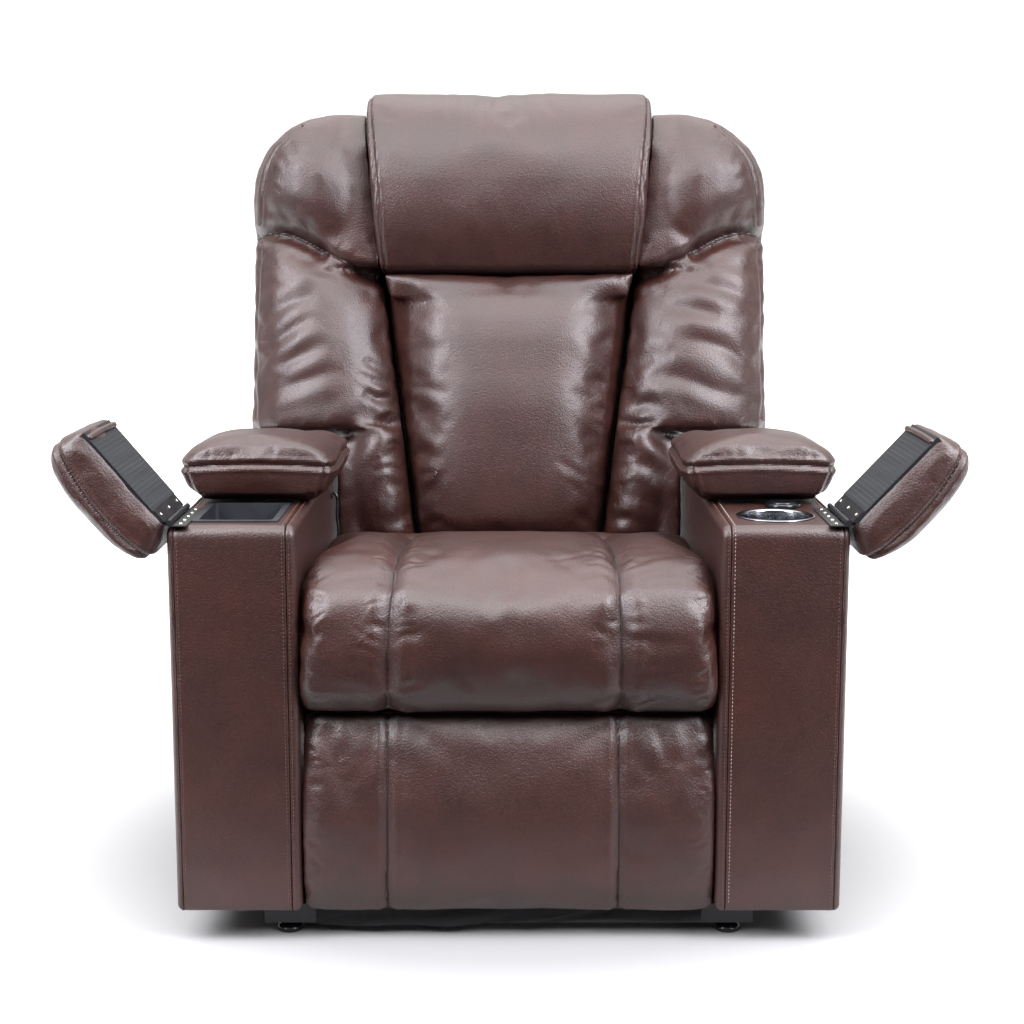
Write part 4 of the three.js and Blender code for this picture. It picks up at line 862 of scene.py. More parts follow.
FOOT_SEAMS = in_metres([
    [(-155, 320), (-156, 180), (-157, 40)], [(142, 320), (142, 180), (142, 40)],
])
FOOT_FOLDS = in_metres([
    [(-252, 285), (-228, 258), (-214, 226), (-206, 190)], [(-190, 296), (-200, 262), (-212, 232)],
    [(-170, 292), (-182, 250), (-200, 216)], [(-236, 290), (-222, 270), (-214, 246)],
    [(236, 296), (228, 262), (218, 236)], [(186, 292), (196, 268), (204, 240)],
    [(252, 270), (244, 226), (238, 180)], [(166, 284), (170, 250), (182, 222)],
])
pattern = front_pattern(footrest)
for seam in FOOT_SEAMS:
    pattern.press(seam, 5 * MM, 4.6 * MM, 0.25, power=1)
for fold in FOOT_FOLDS:
    pattern.press(fold, 9 * MM, 2.0 * MM, 0.7, "both")
pattern.gather(in_metres([[(-262, 296), (-160, 300), (140, 300), (262, 296)]])[0], 48 * MM, 34 * MM,
               8 * MM, 0.5 * MM, sides=(-1,), slant=0.4, seed=51)
for number, side in enumerate(SIDES.values()):
    edge = in_metres([[(side * 262, 290), (side * 262, 60)]])[0]
    pattern.gather(edge, 22 * MM, 22 * MM, 4.5 * MM, 0.7 * MM, slant=0.9, seed=53 + number)
pattern.wave(110 * MM, 1.6 * MM, 6)
pattern.finish()
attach(footrest, "footrest")
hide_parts("footrest_pad")
print("footrest cover:", len(footrest.data.vertices), "points")

# %% [markdown]
# ## The back cushions
#
# The centre cushion is a trapezoid, filled tight. Each side cushion and the wing above it are one
# cover with a deep seam between them. The filling has slumped a little in use, so long folds fan up
# from the low outer edge and short ones run out of the inner seam, most of them low down, where the
# sitter bends. They follow the folds of the real chair, which differ from left to right.

# %% Centre cushion
def back_pattern(obj):
    """Across and up the lean, for what faces the sitter."""
    at, out = points_of(obj), normals_of(obj)
    height = to_back(at)[1]
    towards = -(out[:, 1] * LEAN_COS - out[:, 2] * LEAN_SIN)
    return Pattern(obj, np.stack([at[:, 0], height], axis=1), ramp(-0.1, 0.45, towards))


def keep_beside(obj, edge, outside, side=1):
    """Flattens a back cushion against the seam plane beside it: edge gives the half width."""
    at = points_of(obj)
    limit = edge(to_back(at)[1])
    if outside:
        at[:, 0] = side * np.maximum(side * at[:, 0], limit)
    else:
        at[:, 0] = np.clip(at[:, 0], -limit, limit)
    set_points(obj, at)


def dress_back(obj, node):
    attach(obj, "backrest")
    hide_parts(node)
    print(obj.name, len(obj.data.vertices), "points")


centre = covers["centre_cover"]
subdivide(centre)
at = points_of(centre)
depth, height = to_back(at)
stretch = 6 * MM * ramp(525 * MM, 556 * MM, height) * ramp(34 * MM, 18 * MM, depth)
at[:, 1] += stretch * LEAN_SIN
at[:, 2] += stretch * LEAN_COS
set_points(centre, at)
keep_beside(centre, centre_seam, outside=False)
pattern = back_pattern(centre)
for number, side in enumerate(SIDES.values()):
    edge = in_metres([[(side * 140, 150), (side * 158, 290), (side * 177, 430),
                       (side * 194, 560)]])[0]
    pattern.gather(edge[:3], 30 * MM, 46 * MM, 7 * MM, 1.1 * MM, sides=(side,), slant=0.8,
                   seed=61 + number)
    pattern.gather(edge, 60 * MM, 70 * MM, 11 * MM, 1.3 * MM, sides=(side,), slant=0.8,
                   seed=63 + number)
pattern.wave(120 * MM, 2.5 * MM, 7)
pattern.finish()
dress_back(centre, "back_centre_cushion")

# %% Side cushions and wings
SIDE_FOLDS = {
    "left": in_metres([
        [(-392, 352), (-360, 406), (-308, 436), (-272, 452)],
        [(-388, 415), (-352, 458), (-296, 498)],
        [(-394, 330), (-368, 375), (-321, 393), (-250, 412)],
        [(-270, 298), (-233, 336), (-205, 358)],
        [(-246, 266), (-212, 305), (-160, 340)], [(-228, 250), (-190, 279), (-152, 308)],
        [(-210, 226), (-181, 249), (-146, 282)], [(-222, 378), (-190, 371), (-156, 366)],
        [(-210, 400), (-182, 399), (-162, 393)], [(-346, 606), (-314, 586), (-262, 580)],
        [(-212, 205), (-180, 220), (-142, 250)], [(-206, 330), (-180, 336), (-154, 330)],
        [(-380, 480), (-340, 512), (-290, 530)], [(-206, 184), (-176, 192), (-140, 214)],
    ]),
    "right": in_metres([
        [(250, 462), (326, 445), (380, 408)], [(268, 552), (340, 533), (392, 502)],
        [(168, 412), (252, 401), (317, 379), (380, 366)], [(190, 312), (238, 301), (266, 288)],
        [(152, 262), (195, 266), (240, 250)], [(148, 229), (190, 218), (242, 194)],
        [(176, 378), (217, 357), (246, 312)], [(234, 513), (274, 507), (320, 494)],
        [(150, 198), (181, 188), (214, 168)], [(370, 360), (390, 344), (402, 322)],
        [(164, 340), (204, 326), (236, 300)], [(160, 440), (200, 436), (250, 428)],
        [(158, 290), (190, 284), (226, 268)], [(236, 585), (262, 582), (290, 590)],
    ]),
}
for name, side in SIDES.items():
    cover = covers[f"side_cover_{name}"]
    subdivide(cover)
    keep_beside(cover,
                lambda h: np.where(h < CENTRE_TOP, centre_seam(h), pillow_edge(h)) + 0.6 * MM,
                outside=True, side=side)
    at = points_of(cover)
    low_down = to_back(at)[1] < 256 * MM
    at[low_down, 0] = side * np.minimum(side * at[low_down, 0], 263 * MM)
    set_points(cover, at)
    pattern = back_pattern(cover)
    across = np.linspace(190, 404, 8) * MM
    seam = [(side * x, float(wing_seam(np.array([x]))[0])) for x in across]
    pattern.press(seam, 7 * MM, 6.5 * MM, 0.25, power=1)
    pattern.gather(seam, 44 * MM, 44 * MM, 8 * MM, 0.9 * MM, slant=0.8, seed=71 + side)
    for fold in SIDE_FOLDS[name]:
        pattern.press(fold, 11 * MM, 2.6 * MM, 0.6, "both")
    inner = in_metres([[(side * 140, 160), (side * 158, 290), (side * 177, 430),
                        (side * 193, 550)]])[0]
    pattern.gather(inner[:3], 24 * MM, 50 * MM, 7 * MM, 1.6 * MM, sides=(-side,), slant=0.6,
                   seed=73 + side)
    outer = in_metres([[(side * 391, 345), (side * 391, 520), (side * 387, 620)]])[0]
    pattern.press(outer, 2.6 * MM, 2.6 * MM, 0.4)
    pattern.gather(outer, 46 * MM, 44 * MM, 8 * MM, 0.9 * MM, sides=(side,), slant=0.8,
                   seed=77 + side)
    corner = in_metres([[(side * 386, 650), (side * 380, 700), (side * 362, 750),
                         (side * 320, 792)]])[0]
    pattern.press(corner, 2.6 * MM, 2.6 * MM, 0.4)
    pattern.gather(corner, 27 * MM, 32 * MM, 6 * MM, 0.8 * MM, slant=0.4, seed=79 + side)
    pattern.wave(130 * MM, 3.0 * MM, 8 + side)
    pattern.finish()
    dress_back(cover, f"back_side_panel_{name}")

# %% [markdown]
# ## The head pillow
#
# The pillow is a smooth roll that hangs over the top of the back. Its face is one piece, and a side
# panel closes each end, with a seam pressed in just round the corner. A few fine folds fan down
# from the middle of its top, where the zip behind it draws the leather in.

# %% Head pillow
pillow = covers["pillow_cover"]
subdivide(pillow)
keep_beside(pillow, lambda h: pillow_edge(h) - 0.3 * MM, outside=False)
PILLOW_FOLDS = in_metres([
    [(-75, 860), (-70, 800), (-66, 740)], [(-40, 860), (-44, 810), (-40, 780)],
    [(-12, 862), (-22, 820), (-14, 790)], [(14, 862), (22, 812), (34, 770)],
    [(-100, 858), (-96, 820), (-88, 790)], [(48, 860), (56, 826), (70, 800)],
    [(-206, 822), (-196, 800), (-170, 790)], [(206, 822), (196, 800), (172, 792)],
])
pattern = back_pattern(pillow)
for fold in PILLOW_FOLDS:
    pattern.press(fold, 6 * MM, 0.9 * MM, 0.6, "both")
for side in (-1, 1):
    line = in_metres([[(side * 190, 568), (side * 200, 680), (side * 212, 800),
                       (side * 214, 850)]])[0]
    pattern.press(line, 2.6 * MM, 2.2 * MM, 0.4)
pattern.wave(140 * MM, 2.0 * MM, 12)
pattern.finish()
dress_back(pillow, "head_pillow")

# %% [markdown]
# ## Thread, piping and tubes
#
# A topstitch is a row of short threads that dip into the leather at both ends. Drawn as a bump it
# would not be in the mesh at all, so each stitch is a small spindle that lies on the surface.
# Thread is about 0.7 mm thick and dips in every 5 mm. It is drawn 1 mm thick so that it shows at
# all.

# %% Stitches and tubes
STITCH_PITCH = 5 * MM
STITCH_LENGTH = 3.6 * MM
THREAD_RADIUS = 0.5 * MM


def even_points(line, pitch):
    """Points at even steps along a line of points."""
    line = np.array([np.array(p, float) for p in line])
    steps = np.linalg.norm(np.diff(line, axis=0), axis=1)
    place = np.concatenate([[0], np.cumsum(steps)])
    wanted = np.linspace(0, place[-1], max(2, int(round(place[-1] / pitch)) + 1))
    return np.stack([np.interp(wanted, place, line[:, k]) for k in range(3)], axis=1)


def surface_of(obj):
    graph = bpy.context.evaluated_depsgraph_get()
    return BVHTree.FromObject(obj, graph)


def lay_on(obj, line, pitch):
    """A line moved on to the surface of a piece: its points and the outward direction at each."""
    tree = surface_of(obj)
    spots = [tree.find_nearest(Vector(p)) for p in even_points(line, pitch)]
    return np.array([s[0] for s in spots]), np.array([s[1] for s in spots])


def spindles(rows, length=STITCH_LENGTH, radius=THREAD_RADIUS):
    """Points and faces of one small spindle for each point but the last of each row."""
    points, faces = [], []
    profile = [(-0.5, 0.0, -0.9), (-0.3, 0.9, 0.1), (0.0, 1.0, 0.5), (0.3, 0.9, 0.1),
               (0.5, 0.0, -0.9)]
    around = 6
    for spots, outs in rows:
        for here, there, out in zip(spots, spots[1:], outs):
            along = there - here
            along /= max(np.linalg.norm(along), 1e-9)
            across = np.cross(out, along)
            first = len(points)
            for share, wide, lift in profile:
                centre = (here + there) / 2 + along * share * length + out * lift * radius
                count = 1 if wide == 0 else around
                for k in range(count):
                    turn = 2 * math.pi * k / around
                    aside = across * math.cos(turn) + out * math.sin(turn)
                    points.append(centre + radius * wide * aside)
            rings = [[first]]
            rings += [[first + 1 + around * r + k for k in range(around)] for r in range(3)]
            rings.append([first + 1 + 3 * around])
            for k in range(around):
                m = (k + 1) % around
                faces.append((rings[0][0], rings[1][m], rings[1][k]))
                faces.append((rings[4][0], rings[3][k], rings[3][m]))
                for r in (1, 2):
                    faces.append((rings[r][k], rings[r][m], rings[r + 1][m], rings[r + 1][k]))
    return points, faces


def stitch(name, body, lines, material=thread):
    """Rows of stitches. lines holds pairs of a piece and a line that lies near its surface."""
    rows = [lay_on(obj, line, STITCH_PITCH) for obj, line in lines]
    made = add_object(name, mesh_from(name, *spindles(rows)), material)
    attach(made, body)
    print(name, sum(len(spots) - 1 for spots, _ in rows), "stitches")


def tube(name, line, radius, material, sides=10, step=4 * MM):
    """A closed round tube along a smooth curve through some points."""
    spots = even_points(smooth_line(line, 8), step)
    along = np.gradient(spots, axis=0)
    along /= np.linalg.norm(along, axis=1)[:, None]
    across = np.cross(along[0], (0.0, 0.0, 1.0) if abs(along[0][2]) < 0.9 else (0.0, 1.0, 0.0))
    points, faces = [], []
    for spot, way in zip(spots, along):
        across = across - way * float(across @ way)
        across /= np.linalg.norm(across)
        up = np.cross(way, across)
        for k in range(sides):
            turn = 2 * math.pi * k / sides
            points.append(spot + radius * (across * math.cos(turn) + up * math.sin(turn)))
    for row in range(len(spots) - 1):
        for k in range(sides):
            m = (k + 1) % sides
            faces.append((row * sides + k, (row + 1) * sides + k, (row + 1) * sides + m,
                          row * sides + m))
    faces.append(tuple(range(sides)))
    faces.append(tuple(reversed(range((len(spots) - 1) * sides, len(spots) * sides))))
    return add_object(name, mesh_from(name, points, faces), material)


def lathe(name, profile, centre, material, steps=96):
    """A turned piece: profile holds radius and height, from the axis below round to the axis."""
    points, faces, rings = [], [], []
    for radius, height in profile:
        count = 1 if radius == 0 else steps
        rings.append(range(len(points), len(points) + count))
        for k in range(count):
            turn = 2 * math.pi * k / steps
            points.append((centre[0] + radius * math.cos(turn), centre[1] + radius * math.sin(turn),
                           centre[2] + height))
    for low, high in zip(rings, rings[1:]):
        for k in range(steps):
            m = (k + 1) % steps
            face = [low[k % len(low)], low[m % len(low)], high[m % len(high)], high[k % len(high)]]
            faces.append(tuple(dict.fromkeys(face)))
    return add_object(name, mesh_from(name, points, faces), material)

# %% [markdown]
# ## The seams of the seat, the footrest and the wings
#
# Where two panels are sewn together the eye sees a thin dark line at the bottom of the valley,
# which is shade. A bump would not be in the mesh, so a near-black cord is laid there as a painted
# shadow line; the thread that closes the seam does not show. Rays from inside the cushion find the
# bottom of the valley.

# %% Painted shadow lines in the seams
SEAM_SHADOW_RADIUS = 1.0 * MM


# Lays a dark cord along the bottom of a seam's valley, as a painted shadow line.
def lay_seam_shadow(name, obj, body, rays):
    tree = surface_of(obj)
    hits = [tree.ray_cast(Vector(start), Vector(way))[0] for start, way in rays]
    cord = tube(name, [tuple(hit) for hit in hits if hit is not None], SEAM_SHADOW_RADIUS, seam_shadow_paint,
                sides=8, step=3 * MM)
    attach(cord, body)


def across_at(line, value):
    """The first coordinate of a line of corners where the second has a value."""
    corners = sorted((b, a) for a, b in line)
    return float(np.interp(value, [c[0] for c in corners], [c[1] for c in corners]))


for (name, side), seam, foot_seam in zip(SIDES.items(), SEAT_SEAMS, FOOT_SEAMS):
    rays = []
    for along in np.linspace(225 * MM, -205 * MM, 70):
        turn = max(0.0, -along / ROLL[2])
        rays.append(((across_at(seam, along), ROLL[0] + max(0.0, along), ROLL[1]),
                     (0.0, -math.sin(turn), math.cos(turn))))
    lay_seam_shadow(f"seat_seam_{name}", seat, "chassis", rays)
    lay_seam_shadow(f"footrest_seam_{name}", footrest, "footrest", [
        ((across_at(foot_seam, z), foot_high[1] - 14 * MM, z), (0.0, -1.0, 0.0))
        for z in np.linspace(296 * MM, 46 * MM, 50)])
    wing = [(x, float(wing_seam(np.array([x]))[0])) for x in np.linspace(200 * MM, 386 * MM, 30)]
    inside = [from_back(*np.array([[side * x], [62 * MM], [h]]))[0] for x, h in wing]
    lay_seam_shadow(f"wing_seam_{name}", covers[f"side_cover_{name}"], "backrest",
              [(start, (0.0, -LEAN_COS, LEAN_SIN)) for start in inside])
# The cords laid above are painted shadow lines in the seams.
print("closed seams of the seat, the footrest and the wings laid")

# %% [markdown]
# ## The arms
#
# Each arm is a padded box. One strip of leather runs up its front, over the rounded top edge and
# back along the deck, and a side panel is sewn to it along each long edge. The seams lie about 1 cm
# in from the corners, because the side panels wrap round them, and a topstitch runs on both sides
# of each seam. So an arm is three covers, with a real groove between them where the seam is.

# %% Panels with rounded edges
ARM_INNER, ARM_OUTER = 267 * MM, 429 * MM
WRAP_INNER, WRAP_OUTER = 280 * MM, 420 * MM
SEAM_GAP = 0.6 * MM
arm_low, arm_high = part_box("arm_front_panel_right")
ARM_FRONT, ARM_BOTTOM, DECK_TOP = arm_low[1], arm_low[2], arm_high[2]
ARM_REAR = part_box("arm_outer_panel_right")[1][1]
ARM_CORNERS = (8 * MM, 8 * MM, 9 * MM, 16 * MM)


def side_outline(inset, steps_along=80, steps_up=54, steps_round=6):
    """The arm seen from the side, drawn in by inset: four straights and four round corners."""
    y0, y1 = ARM_FRONT + inset, ARM_REAR - inset
    z0, z1 = ARM_BOTTOM + inset, DECK_TOP - inset
    z0, z1 = min(z0, (z0 + z1) / 2), max(z1, (z0 + z1) / 2)
    radii = [max(radius - inset, 0.0) for radius in ARM_CORNERS]
    middles = [(y0, z0, 1, 1), (y1, z0, -1, 1), (y1, z1, -1, -1), (y0, z1, 1, -1)]
    starts = [math.pi, 1.5 * math.pi, 0.0, 0.5 * math.pi]
    arcs = []
    for (y, z, sy, sz), radius, start in zip(middles, radii, starts):
        arcs.append([(y + sy * radius + radius * math.cos(start + math.pi / 2 * k / steps_round),
                      z + sz * radius + radius * math.sin(start + math.pi / 2 * k / steps_round))
                     for k in range(steps_round + 1)])
    outline = []
    for arc, following, steps in zip(arcs, arcs[1:] + arcs[:1], (steps_along, steps_up) * 2):
        outline += arc[:-1]
        (ya, za), (yb, zb) = arc[-1], following[0]
        outline += [(ya + (yb - ya) * k / steps, za + (zb - za) * k / steps) for k in range(steps)]
    return outline


def side_panel(name, sections, closed_by_rings):
    """A panel that lies in the side view, from its sections: pairs of x and inset."""
    points, faces = [], []
    count = 0
    for x, inset in sections:
        outline = side_outline(inset)
        count = len(outline)
        points += [(x, y, z) for y, z in outline]
    for row in range(len(sections) - 1):
        for k in range(count):
            m = (k + 1) % count
            faces.append((row * count + k, row * count + m, (row + 1) * count + m,
                          (row + 1) * count + k))
    faces.append(tuple(reversed(range(count))))
    if not closed_by_rings:
        faces.append(tuple(range((len(sections) - 1) * count, len(sections) * count)))
    shape = bmesh.new()
    verts = [shape.verts.new(p) for p in points]
    for face in faces:
        try:
            shape.faces.new([verts[i] for i in face])
        except ValueError:
            pass
    bmesh.ops.remove_doubles(shape, verts=shape.verts, dist=1e-5)
    bmesh.ops.recalc_face_normals(shape, faces=shape.faces)
    mesh = bpy.data.meshes.new(name)
    shape.to_mesh(mesh)
    shape.free()
    return add_object(name, mesh, leather)


def rounded_edge(x, radius, way, steps=5):
    """Sections that turn from the rim into a face: way is 1 towards +x and -1 towards -x."""
    return [(x - way * radius + way * radius * math.sin(math.pi / 2 * k / steps),
             radius * (1 - math.cos(math.pi / 2 * k / steps))) for k in range(steps + 1)]


def face_rings(x, start, step=9 * MM):
    """Sections that fill a face from its rounded edge to its middle line."""
    middle = (DECK_TOP - ARM_BOTTOM) / 2
    count = int((middle - start) / step)
    return [(x, start + (middle - start) * k / count) for k in range(1, count + 1)]


# %% Arm covers
SEAM_ROUND = 2 * MM
EDGE_ROUND = 9 * MM
OUTER_FOLDS = in_metres([
    [(-392, 520), (-366, 470), (-356, 410)], [(-392, 470), (-372, 430), (-364, 380)],
    [(-388, 548), (-340, 500), (-300, 470)], [(-250, 548), (-262, 505), (-258, 470)],
    [(330, 60), (250, 80), (190, 70)], [(-300, 56), (-230, 74), (-160, 66)],
])


def make_arm(name, side):
    wrap = side_panel(f"arm_strip_{name}", [
        *reversed(rounded_edge(side * WRAP_INNER, SEAM_ROUND, -side)),
        *[(side * (WRAP_INNER + (WRAP_OUTER - WRAP_INNER) * k / 18), 0.0) for k in range(1, 18)],
        *rounded_edge(side * WRAP_OUTER, SEAM_ROUND, side)], closed_by_rings=False)
    seam_outer = side * (WRAP_OUTER + SEAM_GAP)
    outer = side_panel(f"arm_outer_side_{name}", [
        *reversed(rounded_edge(seam_outer, SEAM_ROUND, -side, 3)),
        *rounded_edge(side * ARM_OUTER, EDGE_ROUND, side),
        *face_rings(side * ARM_OUTER, EDGE_ROUND)],
        closed_by_rings=True)
    seam_inner = side * (WRAP_INNER - SEAM_GAP)
    inner = side_panel(f"arm_inner_side_{name}", [
        *reversed(rounded_edge(seam_inner, SEAM_ROUND, side, 3)),
        *rounded_edge(side * ARM_INNER, EDGE_ROUND, -side),
        *face_rings(side * ARM_INNER, EDGE_ROUND)],
        closed_by_rings=True)
    return wrap, outer, inner


def shape_outer_side(obj, side):
    at, out = points_of(obj), normals_of(obj)
    pattern = Pattern(obj, at[:, [1, 2]], ramp(0.3, 0.9, side * out[:, 0]))
    share = np.clip((at[:, 1] - ARM_FRONT) / (ARM_REAR - ARM_FRONT), 0, 1)
    rise = np.clip((at[:, 2] - ARM_BOTTOM) / (DECK_TOP - ARM_BOTTOM), 0, 1)
    crown = np.sin(np.pi * share) ** 0.6 * np.sin(np.pi * rise) ** 0.5
    pattern.rise += 5 * MM * crown * pattern.facing
    for fold in OUTER_FOLDS:
        pattern.press(fold, 8 * MM, 2.0 * MM, 0.8, "both")
    pattern.wave(150 * MM, 1.6 * MM, 90 + side)
    pattern.finish()


def shape_strip(obj, side):
    pattern = front_pattern(obj)
    share = (side * pattern.flat[:, 0] - WRAP_INNER) / (WRAP_OUTER - WRAP_INNER)
    edge = np.sin(np.pi * np.clip(share, 0, 1))
    above_foot = ramp(ARM_BOTTOM, ARM_BOTTOM + 60 * MM, pattern.flat[:, 1])
    pattern.rise += 3 * MM * edge ** 0.7 * pattern.facing * above_foot
    for x, seed in ((WRAP_INNER, 3), (WRAP_OUTER, 4)):
        line = [(side * x, ARM_BOTTOM), (side * x, DECK_TOP - 14 * MM)]
        pattern.gather(line, 42 * MM, 22 * MM, 6 * MM, 0.7 * MM, slant=0.8,
                       seed=seed + 10 * side + 20)
    pattern.wave(70 * MM, 1.0 * MM, 95 + side, edge)
    pattern.finish()


arms = {}
for name, side in SIDES.items():
    wrap, outer, inner = arms[name] = make_arm(name, side)
    shape_outer_side(outer, side)
    shape_strip(wrap, side)
    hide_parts(f"arm_front_panel_{name}", f"arm_deck_{name}")
    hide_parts(f"arm_outer_panel_{name}")
    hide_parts(f"arm_inner_panel_{name}")
    for cover in (wrap, outer, inner):
        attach(cover, "chassis")
    print("arm", name, [len(c.data.vertices) for c in (wrap, outer, inner)], "points")

# %% [markdown]
# ## Cut-outs in the decks
#
# The bin, the cup holder and the switch are let into the deck, so the deck's leather and the foam
# under it are really cut away there. A boolean does that once, while the strip is still one mesh.

# %% Cut-outs
def cut_out(obj, cutter):
    modifier = obj.modifiers.new("cut", "BOOLEAN")
    modifier.operation = "DIFFERENCE"
    modifier.solver = "EXACT"
    modifier.object = cutter
    apply_modifiers(obj)
    bpy.data.objects.remove(cutter)


bin_low, bin_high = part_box("storage_bin")
BIN_FLANGE = 5 * MM
BIN_ROUND = 10 * MM
cup_low, cup_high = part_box("cup_holder")
CUP_MIDDLE = ((cup_low[0] + cup_high[0]) / 2, (cup_low[1] + cup_high[1]) / 2, 0.0)
switch_low, switch_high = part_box("switch_housing")
SWITCH_MIDDLE = ((switch_low[0] + switch_high[0]) / 2, (switch_low[1] + switch_high[1]) / 2, 0.0)
FIT = 0.4 * MM


def rounded_box_mesh(name, low, high, radius, material, steps=5):
    """An upright box with rounded vertical corners."""
    outline = []
    corners = ((low[0], low[1], 1, 1, math.pi), (high[0], low[1], -1, 1, 1.5 * math.pi),
               (high[0], high[1], -1, -1, 0.0), (low[0], high[1], 1, -1, 0.5 * math.pi))
    for x, y, sx, sy, start in corners:
        for k in range(steps + 1):
            turn = start + math.pi / 2 * k / steps
            outline.append((x + sx * radius + radius * math.cos(turn),
                            y + sy * radius + radius * math.sin(turn)))
    count = len(outline)
    points = [(x, y, z) for z in (low[2], high[2]) for x, y in outline]
    faces = [(k, (k + 1) % count, count + (k + 1) % count, count + k) for k in range(count)]
    faces += [tuple(reversed(range(count))), tuple(range(count, 2 * count))]
    return add_object(name, mesh_from(name, points, faces), material, smooth=False)


left_strip, right_strip = arms["left"][0], arms["right"][0]
cut_out(left_strip, rounded_box_mesh(
    "bin_cut", (bin_low[0] + BIN_FLANGE - FIT, bin_low[1] + BIN_FLANGE - FIT, bin_low[2] - FIT),
    (bin_high[0] - BIN_FLANGE + FIT, bin_high[1] - BIN_FLANGE + FIT, bin_high[2] + FIT),
    BIN_ROUND, leather))
cut_out(right_strip, lathe("cup_cut", [
    (0, cup_low[2] - FIT), (38 * MM, cup_low[2] - FIT), (45 * MM, DECK_TOP - 12 * MM),
    (45 * MM, DECK_TOP + 3 * MM), (0, DECK_TOP + 3 * MM)], CUP_MIDDLE, leather, 64))
cut_out(right_strip, lathe("switch_cut", [
    (0, switch_low[2] - FIT), (21 * MM, switch_low[2] - FIT), (21 * MM, DECK_TOP + 3 * MM),
    (0, DECK_TOP + 3 * MM)], SWITCH_MIDDLE, leather, 48))
print("cut-outs:", len(left_strip.data.vertices), len(right_strip.data.vertices))

# %% [markdown]
# ## Topstitching on the arms
#
# Each seam of the arm is topstitched on both sides, 4 mm away. The thread matches the leather,
# except on the inner seam of the arm on the viewer's right, where it is painted paler: a painted
# highlight for the glint of the lamps on those stitches.

# %% Arm stitches
STITCH_OFFSET = 4.2 * MM


def seam_path(x):
    """A line up the front of the arm and back along its deck."""
    top, front = DECK_TOP, ARM_FRONT
    round_corner = [(x, front + 16 * MM * (1 - math.cos(a)), top - 16 * MM * (1 - math.sin(a)))
                    for a in np.linspace(0, math.pi / 2, 6)]
    return [(x, front, ARM_BOTTOM + 12 * MM), *round_corner, (x, ARM_REAR - 12 * MM, top)]


for name, side in SIDES.items():
    wrap, outer, inner = arms[name]
    inner_rows = [(wrap, seam_path(side * (WRAP_INNER + STITCH_OFFSET))),
                  (inner, seam_path(side * (WRAP_INNER - STITCH_OFFSET)))]
    outer_rows = [(wrap, seam_path(side * (WRAP_OUTER - STITCH_OFFSET))),
                  (outer, seam_path(side * (WRAP_OUTER + STITCH_OFFSET)))]
    if side < 0:
        stitch(f"arm_stitches_{name}", "chassis", inner_rows + outer_rows)
    else:
        stitch(f"arm_stitches_{name}", "chassis", outer_rows + inner_rows[1:])
        # This row's paler thread is a painted highlight for the glint on its stitches.
        stitch(f"arm_glint_painted_stitches_{name}", "chassis", inner_rows[:1], glint_painted_thread)

# %% [markdown]
# ## The arm pads
#
# Each arm carries a fixed pad: a domed top panel sewn to a boxing strip that tapers to the plywood
# under it. The seam between them is the widest line of the pad. The dome overhangs it in a soft
# lip, short gathers run up from it, and a topstitch holds the boxing just below. Upright seams
# close the boxing at the two front corners.

# %% Arm pads
PAD_BOTTOM = pad_low[2]
PAD_HALF_WIDTH = (pad_high[0] - pad_low[0]) / 2
PAD_MIDDLE_X = (pad_high[0] + pad_low[0]) / 2
PAD_FRONT, PAD_REAR = pad_low[1], pad_high[1]
RING_STEPS = 104
RING_POWER = 0.32


def rounded_ring(half_x, half_y):
    """Points round a rectangle with well rounded corners, about its own middle."""
    ring = []
    for turn in (-math.pi / 2 + 2 * math.pi * k / RING_STEPS for k in range(RING_STEPS + 1)):
        c, s = math.cos(turn), math.sin(turn)
        ring.append((half_x * math.copysign(abs(c) ** RING_POWER, c),
                     half_y * math.copysign(abs(s) ** RING_POWER, s)))
    return ring


def pad_seam_height(x):
    """The seam of a pad arches a little across the front and the rear."""
    return PAD_SEAM + 6 * MM * (1 - min(1.0, abs(x) / PAD_HALF_WIDTH) ** 2) - 2 * MM


def pad_ring(side, z_offset):
    """A line round a pad, offset from its seam."""
    middle = (PAD_FRONT + PAD_REAR) / 2
    return [(side * PAD_MIDDLE_X + x, middle + y, pad_seam_height(x) + z_offset)
            for x, y in rounded_ring(PAD_HALF_WIDTH, (PAD_REAR - PAD_FRONT) / 2)]


